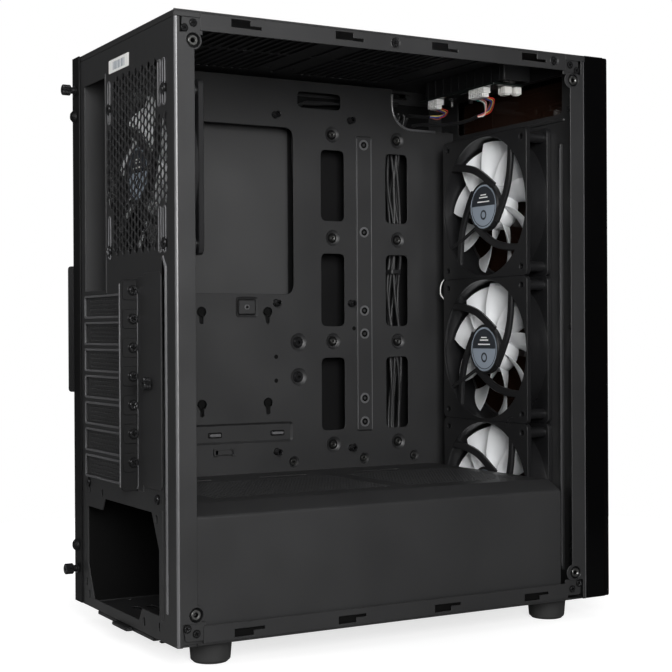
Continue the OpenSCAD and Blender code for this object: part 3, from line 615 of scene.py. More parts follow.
def rear_panel():
    piece = Piece("rear_shell", STEEL, STEEL_HIGHLIGHT, STEEL_PAINTED_SHADE, STEEL_PAINTED_LIGHT)
    fan_x = FANS["rear"][0]
    holes = [rounded_rect(*IO_OPENING, 1)]
    # The fan grille is three blocks of holes on one lattice
    pitch = 7
    for first, columns, z, rows in ((0, 14, 267, 19), (-3, 3, 298.5, 9), (14, 2, 302, 9)):
        holes += hex_holes(32 + first * HEX_STEP * pitch, z, columns, rows, pitch, r=3.29, upright=True)
    fan_slot_x = (fan_x - FAN_HOLES / 2, 26.8, fan_x + FAN_HOLES / 2)
    fan_slots = [(x, z) for x in fan_slot_x for z in (266.5, 366.5)]
    holes += [fan_slot(x, z) for x, z in fan_slots]
    holes += [slot_mouth(k) for k in range(SLOTS)]
    # The power supply's opening, which is the same when turned half round
    half = [(-71.5, 15), (-58.5, 39.5), (34, 39.5), (39.5, 30.5), (71.5, 30.5)]
    holes.append(rounded([(103.5 + s * u, 47 + s * v) for s in (1, -1) for u, v in half], 1.2))
    holes += [rounded_rect(x - 1.7, z - 3, 3.4, 6, 1.6) for x, z in PSU_MARKS]
    holes += [circle(*spot, SCREW_HOLE_R) for spot in (*SIDE_SCREWS, *REAR_SCREWS, RETAINER_SCREW)]
    piece.panel("d", 0, SHEET, rect(FOLD_R, 0, CHASSIS_W - 2 * FOLD_R, REAR_TOP), holes, edge=0.15)
    seat = [(5.05, 0.0), (4.1, 1.4), (3.6, 1.4), (3.6, 2.3), (4.6, 2.3), (5.6, 1.0), (5.3, 0.1)]
    # The flange's screw seats are in painted shade, and the left fold has a painted highlight
    upright_flange(piece, False, seat, 0, 2)
    piece.panel("x", CHASSIS_W - SHEET, SHEET, rect(FOLD_R, 0, FLANGE_W - FOLD_R, REAR_TOP))
    piece.fold("z", 0, REAR_TOP, (0, 0), (1, 1), finish=1)
    piece.fold("z", 0, REAR_TOP, (CHASSIS_W, 0), (-1, 1))
    # Ledge that the slot covers are screwed to, in painted shade, with its folded foot in painted highlight
    piece.panel("x", LEDGE_X, SHEET, rounded(rect(-13, 99, 13.9, 150), (5, 0, 0, 5)), edge=0.25, finish=2)
    piece.slab(LEDGE_X - 0.1, -13.4, 102, 1.2, 0.7, 144, edge=0.2, finish=1)
    # Raised rims of the slots' mouths and of the fan's screw slots, with painted highlight
    for k in range(SLOTS):
        rim = rounded_rect(67.6, slot_z(k) - 8.9, 111.8, 17.8, 2.5)
        piece.panel("d", -0.7, 0.8, rim, [slot_mouth(k)], edge=0.3, finish=1)
    for x, z in fan_slots:
        piece.panel("d", -0.6, 0.7, fan_slot(x, z, 1.3), [fan_slot(x, z)], edge=0.25, finish=1)
    # Pale strips of painted light on the fan frame seen through the screw slots on the left
    for x, z in fan_slots[:4]:
        piece.slab(x - 1.8, SHEET + 0.05, z - 1, 3.6, 0.3, 32, edge=0, finish=3)
    # Raised strip beside the slots, and the stiffening rib with painted highlight
    piece.pad("d", 0, -0.5, rect(58.4, 99, 11, 152), slope=0.5)
    rib = rounded([(15.6, 20), (19, 20), (19, 254), (24.5, 262), (21.5, 264), (15.6, 256)], 1)
    piece.pad("d", 0, -0.9, rib, slope=0.9, finish=1)
    piece.pad("d", 0, -0.5, rounded_rect(24, 14, 6, 76, 2), slope=0.6)
    piece.pad("d", 0, -0.5, rounded_rect(130.5, 240.2, 2.2, 164.8, 1), slope=0.4)
    piece.done("rear_panel", slot="black_steel")


def rail_tabs(piece, z0):
    """The rail's tabs, set back behind the windows of the upright flanges."""
    h = TAB_H + 1.2
    for d, low in ((TAB_D + 1.8, True), (CHASSIS_D - TAB_L - 2, False)):
        outline = rect(d, z0, TAB_L + 0.2 - TAB_D, h)
        piece.panel("x", SHEET, SHEET, rounded(outline, (2.5, 0, 0, 2.5) if low else (0, 2.5, 2.5, 0)),
                    edge=0.25)


def right_rail(piece, z, windows, finish):
    """Rail at the right, with the windows for the side panel's hooks."""
    piece.panel("x", CHASSIS_W - SHEET, SHEET, rect(TAB_L, z, RIGHT_RAIL_L, RAIL_H - FOLD_R),
                [rect(d, windows, 23, 5.5) for d in HOOKS], finish=finish)


def top_panel():
    piece = Piece("top_shell", STEEL_IN, STEEL)
    high = CHASSIS_H
    vents = slot_holes(34, 34, 140, 258, cols=2, pitch=7.3, slot_w=3.9, gap=4)
    bores = fan_corners(101.1, 96) + fan_corners(101.1, 222)
    fans = [circle(*bore, FAN_HOLE_R) for bore in bores]
    vents = [v for v in vents if all(apart(v, bore) > 3.5 for bore in bores)]
    cut_out = rounded_rect(45, 303, 116, 28, 2)
    piece.panel("z", high - SHEET, SHEET, rect(FOLD_R, FOLD_R, CHASSIS_W - 2 * FOLD_R, CHASSIS_D - FOLD_R),
                vents + fans + [cut_out], edge=0.15)
    holes = [hook_hole(d, high - 8.7, high - 8.9) for d in HOOKS]
    holes += [circle(d, high - RAIL_SCREW_DOWN, 4.1, 28) for d in RAIL_SCREWS]
    piece.panel("x", 0, SHEET, rect(TAB_L, high - RAIL_H, CHASSIS_D - 2 * TAB_L, RAIL_H - FOLD_R), holes,
                edge=0.25, finish=1)
    for d in RAIL_SCREWS:
        piece.lathe("x", d, high - RAIL_SCREW_DOWN,
                    [(4.2, 0.1), (4.0, 0.0), (3.1, 0.9), (3.1, 1.9), (4.2, 0.9)], 28, finish=1)
    for d in (0, CHASSIS_D - TAB_L):
        piece.panel("x", 0, SHEET, rect(d, REAR_TOP + 0.2, TAB_L, 5 - FOLD_R + 0.05), finish=1)
    piece.fold("d", 0, CHASSIS_D, (0, high), (1, -1), finish=1)
    piece.fold("d", 0, CHASSIS_D, (CHASSIS_W, high), (-1, -1), finish=1)
    piece.fold("x", FOLD_R, CHASSIS_W - 2 * FOLD_R, (0, high), (1, -1), finish=1)
    right_rail(piece, high - RAIL_H, high - 8.9, 1)
    piece.panel("d", 0, SHEET, rect(FOLD_R, REAR_TOP + 0.2, CHASSIS_W - 2 * FOLD_R, 3.3), finish=1)
    tabs = Piece("top_shell_tabs", STEEL)
    rail_tabs(tabs, high - TAB_Z - TAB_H - 0.6)
    tabs.done(slot="black_steel")
    piece.done("top_panel", slot="black_steel")


def bottom_panel():
    piece = Piece("bottom_shell", STEEL, PAINTED_SHADE_BLACK)
    holes = slot_holes(52, 24, 98, 140, cols=3, pitch=12, slot_w=7, gap=5)
    holes += [circle(x, d, 2.3) for x, d in FEET.values()]
    piece.panel("z", 0, SHEET, rect(FOLD_R, SHEET, CHASSIS_W - 2 * FOLD_R, BULKHEAD_D - SHEET), holes,
                edge=0.15)
    hooks = [hook_hole(d, 3.4, 6.8) for d in HOOKS]
    piece.panel("x", 0, SHEET, rect(TAB_L, FOLD_R, CHASSIS_D - 2 * TAB_L, RAIL_H - FOLD_R), hooks, edge=0.25)
    piece.fold("d", FLANGE_W, CHASSIS_D - 2 * FLANGE_W, (0, 0), (1, 1))
    right_rail(piece, FOLD_R, 3.4, 0)
    piece.fold("d", TAB_L, RIGHT_RAIL_L, (CHASSIS_W, 0), (-1, 1))
    rail_tabs(piece, TAB_Z - 0.6)
    # Thin sheet of painted shade behind the bottom rail
    piece.panel("x", 2.1, 0.3, rect(TAB_L + 3, 1.6, CHASSIS_D - 2 * TAB_L - 6, 11), edge=0, finish=1)
    for x, lip in ((43, 43), (157, 155)):
        piece.slab(x, 6, -5, 2, 172, 5.5, edge=0.2)
        piece.slab(lip, 6, -5, 4, 172, 1, edge=0.2)
    piece.done("bottom_panel", slot="black_steel")


def front_bulkhead():
    piece = Piece("front_bulkhead_shell", STEEL_IN, STEEL, STEEL_HIGHLIGHT, STEEL_PAINTED_SHADE)
    holes = []
    for name in FRONT_FANS:
        x, _, z = FANS[name]
        holes.append(circle(x, z, 57, 72))
        holes += [circle(*corner, FAN_HOLE_R) for corner in fan_corners(x, z)]
    holes.append(rounded_rect(27.5, 385.5, 147, 32, 4))
    holes += [circle(*pin, 3.6) for pin in SNAP_PINS]
    piece.panel("d", BULKHEAD_D, SHEET, rect(SHEET, 0, CHASSIS_W - 2 * SHEET, CHASSIS_H - SHEET), holes,
                edge=0.15)
    # Long stamped steps beside the fans, seen from inside, with a strip of painted highlight beside the left
    # one
    for x in (26.5, 173.5):
        piece.pad("d", BULKHEAD_D, -2.2, rounded_rect(x, 18, 3.5, 344, 1.2), slope=1.2)
    piece.slab(26.8, BULKHEAD_D - 2.5, 22, 1.3, 0.7, 336, edge=0.2, finish=2)
    piece.pad("d", BULKHEAD_D, -1.2, rounded_rect(24, 379, 154, 3, 1), slope=0.8)
    # The flange's screw seats are in painted shade, and its fold has a painted highlight
    seat = [(5.7, 0.0), (4.3, 1.5), (3.6, 1.5), (3.6, 2.5), (4.9, 2.5), (6.2, 1.0), (5.9, 0.1)]
    upright_flange(piece, True, seat, 1, 3)
    piece.fold("z", 0, REAR_TOP, (0, CHASSIS_D), (1, -1), finish=2)
    piece.panel("x", CHASSIS_W - SHEET, SHEET, rect(334.3, 0, BULKHEAD_D - 333.5, CHASSIS_H - 14))
    piece.done("front_bulkhead", slot="black_steel")


CABLE_COLUMNS = ((211.5, 22.8), (276, 22.6))
CABLE_ROWS = ((127, 62), (216, 62), (306, 60.5))
CABLE_MOUTHS = [(d, z, w, h) for d, w in CABLE_COLUMNS for z, h in CABLE_ROWS]
COLUMN_SCREWS = [(222.8, z) for z in (379.9, 291.5, 203.1, 114.8)]
COLUMN_SCREWS += [(288.2, z) for z in (378.7, 291.5, 202.6, 114.6)]
STRIP_D_MID = 253.5
STRIP_SCREWS = [(STRIP_D_MID, z) for z in (372.7, 297.2, 229.4, 209.4, 153.6, 133.3)]
LOW_SCREWS = [(184.4, 101.6), (253.5, 101.6), (304.5, 101.6)]
BIG_BOSSES = [(189.2, 202.5), (189.2, 173.2)]
KEYHOLES = [(d, z) for d in (100, 160.2) for z in (224.8, 149.1)]
DOTS = [(167.8, 190.5), (167.8, 170.5), (243.5, 214), (243.5, 113)]


def keyhole(d, z):
    return arc(d, z + 3, 4.2, -63.1, 243.1, 18) + arc(d, z - 5, 1.9, 180, 360, 8)


def motherboard_tray():
    piece = Piece("motherboard_tray_shell", STEEL_IN, STEEL, PAINTED_SHADE_BLACK, STEEL_HIGHLIGHT)
    face = TRAY_X
    square = rounded_rect(131, 223.7, 20, 16.6, 2.5)
    recess = rounded_rect(20, 119.5, 163, 16.3, 3)
    strip = rounded_rect(246, 125.3, 15.5, 255, 1.5)
    holes = [rounded_rect(84, 243, 101, 140, 9, 8), square, recess, strip]
    holes += [rounded_rect(*m, 5, 6) for m in CABLE_MOUTHS]
    holes.append(rounded_rect(189.3, 401, 41.7, 13.5, 4))
    holes.append(rounded_rect(180, 14, 140, 66, 8))
    holes += [keyhole(*place) for place in KEYHOLES]
    cups = [(p, 6.6) for p in COLUMN_SCREWS] + [(p, 4.6) for p in LOW_SCREWS] + [(p, 7.4) for p in BIG_BOSSES]
    holes += [circle(*p, r, 30) for p, r in cups]
    outline = [(SHEET, SHEET), (BULKHEAD_D, SHEET), (BULKHEAD_D, 389)]
    outline += arc(303, 409, 20, 270, 180, 8) + [(283, 423.6), (SHEET, 423.6)]
    piece.panel("x", face, SHEET, outline, holes, edge=0.25)
    # Dished seats of the screws, pressed away from the board, with painted shade on their floors
    for (d, z), r in cups:
        piece.lathe("x", d, z,
                    [(0, 1.7), (0.62 * r, 1.7), (0.8 * r, 1.1), (r, 0), (r, 1), (0.8 * r, 2),
                     (0.6 * r, 2.6), (0, 2.6)], base=face)
        piece.rod("x", d, z, 0.66 * r, face + 1.5, face + 1.75, 24, finish=2)
    # Stamped square, long recess and the upright strip, with painted shade in their holes and outlines and
    # painted highlight on their rings and pads
    piece.basin("x", face, 1.3, square, slope=1.4)
    piece.pad("x", face + 1.3, -1.5, rounded_rect(133.3, 226, 15.4, 12, 1.5), slope=0.5)
    piece.rod("x", 141, 232, 1.2, face - 0.5, face, 16, finish=2)
    piece.lathe("x", 141, 232, [(1.3, 0), (1.3, -0.6), (1.9, -0.6), (2.3, -0.2), (2.3, 0)], 20, finish=3,
                base=face)
    piece.basin("x", face, 1.4, recess, slope=1.6)
    piece.basin("x", face, -0.9, strip, slope=1.0)
    for d, z in STRIP_SCREWS:
        piece.lathe("x", d, z, [(4.6, -0.85), (4.1, -1.4), (3.1, -1.4), (2.8, -0.9)], 28, finish=3, base=face)
        piece.rod("x", d, z, 2.9, face - 1, face - 0.85, 20, finish=2)
        piece.lathe("x", d, z, [(0, -1.3), (0.9, -1.3), (1.3, -0.95), (0, -0.95)], 14, base=face)
    piece.panel("x", face + 1.15, 0.2, rounded_rect(132.6, 225.3, 16.8, 13.4, 2), edge=0, finish=2)
    for d, w in ((106.6, 10.4), (163.8, 10.9)):
        piece.panel("x", face + 1.25, 0.2, rounded_rect(d - 1, 124.4, w + 2, 4.6, 1), edge=0, finish=2)
        piece.pad("x", face + 1.3, -1.4, rounded_rect(d, 125.3, w, 2.8, 1), slope=0.4, finish=3)
    for d, z in KEYHOLES:
        piece.rod("x", d, z + 3.6, 3.1, face + 0.7, face + 1.2, 20, finish=2)
    # Bridge for a cable tie, the small stamped marks as dots of painted shade, and a sheet of painted shade
    # on the tray's face inside the shroud
    piece.panel("x", face - 2.6, 1, rounded_rect(110.5, 110.8, 16.5, 4, 1), edge=0.25)
    for d in (109.5, 125.5):
        piece.panel("x", face - 2.6, 3, rounded_rect(d, 109.6, 3.5, 6.4, 1), edge=0.25)
    for d, z in DOTS:
        piece.lathe("x", d, z, [(0, -0.1), (1.7, -0.1), (2, 0.1), (0, 0.1)], 18, finish=2, base=face)
    piece.panel("x", face - 0.35, 0.3, rect(2, 2, 176, 90), edge=0, finish=2)
    # Rolled rim of the corner that the front leads pass, and the strip's sides, in painted highlight
    corner = [(283, 419), (283, 409)] + arc(303, 409, 20, 180, 270, 8)[1:] + [(316, 389), (328, 389)]
    piece.tube([(face - 0.2, d, z) for d, z in corner], 1.1, 10, finish=3)
    for d in (246.6, 260.9):
        piece.slab(face - 1.05, d - 0.3, 127, 0.25, 0.6, 251, edge=0.08, finish=3)
    # Folded edges towards the right side
    piece.slab(face + 0.5, 8, 422.6, 10, 270, SHEET, edge=0.2)
    piece.slab(face + 0.5, SHEET, 4, 8, SHEET, 416, edge=0.2)
    piece.done("motherboard_tray", slot="black_steel")


def psu_shroud():
    piece = Piece("psu_shroud_shell", STEEL)
    length, top, fold_x, fold_z, wall = 325, 94, 19.5, 86.5, 3
    cut = FANS["lower"][1] - 0.4
    vents = []
    for d, lines in ((44, 36), (208, 25)):
        vents += hex_holes(38, d, lines, 21, pitch=4.8, r=1.75)
    vents += [rounded_rect(150, d, 5, 44, 2) for d in (51, 137, 226)]
    piece.panel("z", top - SHEET, SHEET, rect(fold_x + 1.5, SHEET, TRAY_X - fold_x - 1.5, cut - SHEET), vents,
                edge=0.15)
    outer = rounded([(fold_x + 1.5, top), (fold_x, top), (wall, fold_z), (wall, SHEET)], (0, 1.4, 3, 0), 5)
    inner = rounded([(wall + 1, SHEET), (wall + 1, fold_z - 0.6), (fold_x + 0.2, top - 1),
                     (fold_x + 1.5, top - 1)], (0, 2, 0.5, 0), 5)
    piece.panel("d", SHEET, length - SHEET, outer + inner, edge=0.15)
    piece.panel("d", length - 0.2, SHEET, [(wall + 0.8, SHEET), (wall + 30, SHEET), (wall + 30, top - 1.2),
                                          (fold_x + 1.5, top - 1.2), (wall + 0.8, fold_z - 1)])
    piece.done("psu_shroud", slot="black_steel")


# ---------- Expansion slots ----------


def slot_cover(number):
    piece = Piece(f"slot_cover_shell_{number}", STEEL, STEEL_PAINTED_SHADE)
    z = slot_z(number - 1)
    t = COVER_T
    x0 = LEDGE_X - t
    dots = [circle(79 + 3.3 * i + 1.65 * (j % 2), z - 4.8 + 3.2 * j, 0.95, 8) for j in range(4)
            for i in range(28)]
    piece.panel("d", SHEET, t, rounded(rect(x0 + 1.4, z - 9, 110, 18), (0, 4, 4, 0)), dots, edge=0.1)
    low, root, end = z + SLOT_SCREW_UP - 6.9, 3.7, SHEET + t - 1.4
    tab = [(-11, low), (end, low), (end, low + root), (-0.1, low + root), (-0.1, low + 13.8),
           (-11, low + 13.8)]
    # The tab is in painted shade
    piece.panel("x", x0, t, rounded(tab, (2.5, 0, 0, 0, 0, 2.5)),
                [circle(SLOT_SCREW_D, z + SLOT_SCREW_UP, 1.75)], finish=1)
    piece.fold("z", low, root, (x0, SHEET + t), (1, -1), r=1.4, thick=t)
    piece.done(f"slot_cover_{number}", slot="black_steel")


def slot_cover_screws():
    piece = Piece("slot_screw_heads", SCREW_BLACK, PAINTED_SHADE_BLACK)
    seat = LEDGE_X - COVER_T
    for k in range(SLOTS):
        z = slot_z(k) + SLOT_SCREW_UP
        d = SLOT_SCREW_D
        piece.lathe("x", d, z, [(0, 0), (3.9, 0), (3.9, -0.3), (3.5, -0.7), (0, -0.7)], 24, base=seat)
        piece.screw("x", d, z, seat - 0.6, 3.1, -1.7, turn=20 + 35 * k)
        piece.lathe("x", d, z, [(0, 0), (1.5, 0), (1.5, 6.5), (0.8, 7.2), (0, 7.2)], 16, base=seat)
    piece.done("slot_cover_screws", slot="black_screws")


def slot_retainer_plate():
    piece = Piece("slot_retainer_cover", STEEL)
    piece.panel("d", -SHEET, SHEET, rounded_rect(24, 103, 34, 150, 4),
                [circle(*RETAINER_SCREW, SCREW_HOLE_R)], edge=0.3)
    piece.done("slot_retainer_plate", slot="black_steel")


# ---------- Fasteners ----------


def glass_panel_standoffs():
    piece = Piece("side_glass_posts", DULL_ZINC_PAINTED_SHADE, PAINTED_SHADE_BLACK)
    for d in BOSS_D:
        for z in BOSS_Z:
            piece.lathe("x", d, z, [(1.7, 0.5), (2.3, 0.0), (3.0, 0.0), (3.4, 0.4), (3.4, 7), (1.7, 7)], 28)
            # Painted shade lining the bore
            piece.lathe("x", d, z, [(1.3, 1.2), (1.75, 0.8), (1.75, 6.5), (1.3, 6.5)], 6, finish=1)
            piece.ring("x", d, z, 3.45, 5, 2.6, 3.1, 28)
    piece.done("glass_panel_standoffs", slot="plated_steel")


def corner_screws():
    piece = Piece("corner_screw_heads", SCREW_BLACK, PAINTED_SHADE_BLACK)
    for near, far in TAB_SCREWS:
        for d in (near, CHASSIS_D - near):
            for z in (far, CHASSIS_H - far):
                piece.screw("x", d, z, SHEET, 2.4, -1.0, turn=10 + 7 * near)
    piece.done("corner_screws", slot="black_screws")


def assembly_screws():
    piece = Piece("assembly_screw_heads", SCREW_BLACK, PAINTED_SHADE_BLACK)
    for d in RAIL_SCREWS:
        piece.screw("x", d, CHASSIS_H - RAIL_SCREW_DOWN, SHEET, 2.8, -1.0, turn=d)
    for x, z in REAR_SCREWS:
        piece.screw("d", x, z, 0, 3.0, -1.6, turn=x)
    piece.done("assembly_screws", slot="black_screws")


def tray_screws():
    piece = Piece("tray_screw_heads", DULL_ZINC_PAINTED_SHADE, PAINTED_SHADE_BLACK)
    for d, z in COLUMN_SCREWS:
        piece.lathe("x", d, z, [(0.9, -0.2), (1.9, -0.4), (2.6, 0.4), (2.6, 1.7), (0.9, 1.7)], 24,
                    base=TRAY_X)
    for d, z in LOW_SCREWS:
        piece.screw("x", d, z, TRAY_X + 1.6, 2.8, -1.5, turn=d)
    piece.done("tray_screws", slot="black_screws")


def motherboard_standoffs():
    piece = Piece("board_standoffs", SCREW_BLACK)
    columns = ((33.02, 165.1, 237.49), (10.16, 165.1, 237.49), (10.16, 165.1, 237.49))
    for row, cols in zip((6.35, 163.83, 288.29), columns):
        for col in cols:
            d, z = 2.9 + col, 399.4 - row
            piece.lathe("x", d, z, [(1.5, -6.3), (2.2, -6.5), (2.6, -6.1), (2.6, -0.8), (3.2, 0), (1.5, 0)],
                        24, base=TRAY_X)
    for d, z in BIG_BOSSES:
        piece.lathe("x", d, z, [(1.4, -0.6), (3.2, -0.8), (4.2, 0.2), (4.6, 1.6), (1.4, 1.6)], 28,
                    base=TRAY_X)
    piece.done("motherboard_standoffs", slot="plated_steel")


def thumbscrew(name, x, z, seat, neck, head_r, head_l, body, node):
    """A knurled thumbscrew with its axis along the case's depth."""
    piece = Piece(name, SCREW_BLACK, PAINTED_SHADE_BLACK)
    front = seat - neck
    knurl = circle(x, z, head_r, 60)
    knurl[1::2] = circle(x, z, head_r - 0.28, 60)[1::2]
    piece.panel("d", front - head_l, head_l, knurl, [cross_outline(x, z, 0.5 * head_r, 0.4, 15)], edge=0.5)
    # Disc of painted shade at the bottom of the cross recess
    piece.panel("d", front - head_l + 1.3, 0.4, circle(x, z, 0.7 * head_r, 20), edge=0, finish=1)
    if neck > 1:
        waist = [(2.6, -1.4), (3.9, -0.9), (3.9, -0.1), (0, -0.1)]
    else:
        waist = [(2.6, -0.02), (0, -0.02)]
    piece.lathe("d", x, z, [(0, -neck - 0.4), (2.6, -neck - 0.4)] + waist, 28, base=seat)
    piece.lathe("d", x, z, [(0, -0.2), (1.5, -0.2), (1.5, 7), (0.9, 8), (0, 8)], 16, base=seat)
    piece.done(node, slot="black_screws", body=body)


# ---------- Feet ----------


def feet():
    pads = Piece("foot_grip_pads", RUBBER)
    for name, (x, d) in FEET.items():
        piece = Piece(f"foot_{name}_shell", RUBBER)
        low = 1 - FOOT_H
        profile = [(12.6, low + 1.5), (12.6, low), (12.9, low)]
        profile += arc(12.4, low + 1.6, 1.6, -70, 0, 5)
        profile += [(15.0, -2.4), (15.4, -1.6), (15.4, -0.05), (2.4, -0.05), (2.4, low + 1.5)]
        piece.lathe("z", x, d, profile, 40)
        piece.done(f"foot_{name}", slot="foot_rubber")
        pads.lathe("z", x, d, [(0, 0), (11.9, 0), (12.4, 0.5), (12.4, 2), (0, 2)], 40, base=-FOOT_H)
    pads.done("foot_pads", slot="foot_rubber")


# ---------- Fans ----------
# Local places: x and z from the axle, d from the strut side.


def strut_outline(turn):
    """One curved strut, leaving the hub almost tangentially."""
    line = [(-16, -13), (-25, 1), (-31.5, 14), (-35, 28), (-36.3, 42), (-36.5, 57.5)]
    line = [Vector(p) for p in smooth_path(line, 3)]
    left, right = [], []
    for i, p in enumerate(line):
        along = heading(line, i)
        side = (3.3 - 0.4 * i / len(line)) * Vector((-along.y, along.x))
        left.append(p + side)
        right.append(p - side)
    c, s = math.cos(math.radians(turn)), math.sin(math.radians(turn))
    return [(x * c - z * s, x * s + z * c) for x, z in left + right[::-1]]


def fan_frame(name):
    piece = Piece(f"fan_housing_{name}", FAN_PLASTIC, JACKET)
    piece.shift = Vector(FANS[name])
    corners = fan_corners()
    for d in (0, FAN_T - 4):
        piece.panel("d", d, 4, rounded_rect(-60, -60, 120, 120, 5, 5),
                    [circle(0, 0, 58.4, 72)] + [circle(*c, FAN_HOLE_R, 16) for c in corners], edge=0.4)
    piece.lathe("d", 0, 0,
                [(59.3, 0.2), (58.2, 2.5), (58.2, 22.5), (59.3, 24.8), (59.85, 24.8), (59.85, 0.2)], 96)
    for c in corners:
        piece.ring("d", *c, 2.3, 4.2, 3.8, 21.2, 20)
        piece.lathe("d", *c, [(2.5, 0.4), (3.2, -0.05), (4.4, -0.05), (4.8, 0.4)], 24)
    for turn in (0, 90, 180, 270):
        piece.panel("d", 0.3, 3.6, strut_outline(turn), edge=0.9)
    piece.lathe("d", 0, 0,
                [(0, 0.8), (18.7, 0.8), (18.9, 0.0), (19.9, 0.0), (20.9, 1.0), (20.9, 5), (4.6, 5),
                 (4.6, 18), (3, 18), (3, 5.2), (0, 5.2)], 48)
    lead = [(12, 1.8, -17), (20, 1.2, -21), (34, 0.9, -27.5), (48, 0.9, -33), (57, 1.2, -38),
            (59.6, 1.6, -44)]
    for k in (-0.9, 0.9):
        piece.tube([(x, d, z + k) for x, d, z in smooth_path(lead, 3)], 0.8, finish=1)
    piece.done(f"fan_frame_{name}", slot="black_plastic")


def blade(piece, turn):
    """One twisted, swept and cambered blade."""
    rows, cols = 9, 11
    low, high = [], []
    for i in range(rows):
        f = i / (rows - 1)
        r = 18.3 + f * 37.4
        span = math.radians(29 + 3 * f)
        sweep = math.radians(19) * f ** 1.2
        for j in range(cols):
            s = j / (cols - 1) - 0.5
            a = turn + sweep + s * span
            d = 15.4 + s * (15.5 - 2 * f) - 1.6 * (1 - 4 * s * s) * (0.6 + 0.4 * f)
            thick = (1.7 - 0.7 * f) * max(0.2, math.sqrt(max(0, 1 - (2 * s) ** 2)))
            x, z = r * math.cos(a), r * math.sin(a)
            low.append((x, d - thick / 2, z))
            high.append((x, d + thick / 2, z))
    size = rows * cols
    faces = []
    for i in range(rows - 1):
        for j in range(cols - 1):
            a = i * cols + j
            quad = (a, a + 1, a + cols + 1, a + cols)
            faces += [quad, tuple(q + size for q in quad)]
    rim = list(range(cols)) + list(range(2 * cols - 1, size, cols))
    rim += list(range(size - 2, size - cols - 1, -1)) + list(range(size - 2 * cols, 0, -cols))
    for a, b in zip(rim, rim[1:] + rim[:1]):
        faces.append((a, b, b + size, a + size))
    piece.shell(low + high, faces)


def fan_rotor(name):
    piece = Piece(f"fan_impeller_{name}", BLADE, ZINC)
    piece.shift = Vector(FANS[name])
    piece.lathe("d", 0, 0,
                [(0, 24), (16.2, 24), (17.8, 23.4), (18.8, 22), (19, 20.5), (19, 7), (17.2, 7),
                 (17.2, 21.6), (0, 21.6)], 56)
    piece.lathe("d", 0, 0, [(0, 6.5), (1.2, 6.5), (1.5, 6.9), (1.5, 22), (0, 22)], 20, finish=1)
    rest = -0.1 if name == "upper" else 0.13
    for k in range(9):
        blade(piece, 2 * math.pi * (k + rest) / 9)
    piece.done(f"fan_rotor_{name}", slot="fan_blades", body=f"fan_spin_{name}")


def fan_labels():
    """Plain two-tone films on the hubs, with bars in place of print."""
    piece = Piece("fan_hub_films", FILM_PALE, FILM_DARK, STICKER)
    for centre in FANS.values():
        piece.shift = Vector(centre)
        piece.rod("d", 0, 0, 18.5, 0.45, 0.75, 48)
        piece.ring("d", 0, 0, 16.3, 17.0, 0.38, 0.46, 48, finish=1)
        piece.panel("d", 0.38, 0.09, arc(0, 0.5, 16, 0, 180, 24), edge=0, finish=1)
        for z, half in ((9.4, 4), (7.2, 6), (3.6, 8.5)):
            piece.panel("d", 0.34, 0.05, rect(-half, z, 2 * half, 0.9), edge=0, finish=2)
        piece.panel("d", 0.38, 0.09, circle(0, -7, 4.2, 28), [circle(0, -7, 2.6, 28)], edge=0, finish=1)
    piece.done("fan_labels", slot="label_film")


def fan_bearings():
    piece = Piece("fan_bearing_sleeves", BRONZE)
    for centre in FANS.values():
        piece.shift = Vector(centre)
        piece.lathe("d", 0, 0,
                    [(1.57, 5.4), (1.9, 5.05), (2.7, 5.05), (2.98, 5.4), (2.98, 17.6), (2.7, 17.95),
                     (1.9, 17.95), (1.57, 17.6)], 28)
    piece.done("fan_bearings", slot="bearing_bronze")


def fan_screws():
    front = Piece("front_fan_screw_heads", SCREW_BLACK, PAINTED_SHADE_BLACK)
    rear = Piece("rear_fan_screw_heads", SCREW_BLACK, PAINTED_SHADE_BLACK)
    for name, (x, _, z) in FANS.items():
        for turn, (u, v) in zip((-50, 10, -10, 50), fan_corners(x, z)):
            if name == "rear":
                rear.screw("d", u, v, 0, 4, -1.6, turn=turn)
                rear.lathe("d", u, v, [(0, -0.1), (2, -0.1), (2, 8), (1.2, 9), (0, 9)], 16)
            else:
                front.screw("d", u, v, CHASSIS_D, 4, 1.6, turn=turn)
                front.lathe("d", u, v, [(0, 1.1), (2, 1.1), (2, -7), (1.2, -8), (0, -8)], 16, base=BULKHEAD_D)
    front.done("front_fan_screws", slot="black_screws")
    rear.done("rear_fan_screws", slot="black_screws")


# ---------- Front connectors ----------


def io_housing():
    piece = Piece("io_strip_housing", PLASTIC, GLOSSY)
    top = CHASSIS_H
    holes = [circle(POWER_X, STRIP_D, 8.8, 40), circle(LED_X, STRIP_D, 4.3, 28)]
    holes += [rounded_rect(x - 6.7, STRIP_D - 3.1, 13.4, 6.2, 0.6) for x in USB_X]
    holes += [circle(x, STRIP_D, 4.1, 28) for x in AUDIO_X]
    piece.panel("z", top, 1, rounded_rect(44, 301, 118, 32, 4), holes, edge=0.3, finish=1)
    piece.panel("z", top - 1.2, 1.25, rounded_rect(45.6, 303.6, 114.8, 26.8, 2), holes, edge=0.1)
    wall = rounded_rect(45.5, 303.5, 115, 27, 2)
    piece.panel("z", 412.5, 15, wall, [rounded_rect(47, 305, 112, 24, 1.2)], edge=0.3)
    for k in range(10):
        piece.slab(50 + 11.6 * k, 302.7, 413, 1.4, 1, 14, edge=0.2)
    for x in (50, 155):
        piece.lathe("z", x, 309, [(0, 411.8), (2.4, 411.8), (2.9, 412.4), (2.9, 424), (0, 424)], 20)
    piece.done("io_housing", slot="black_plastic")


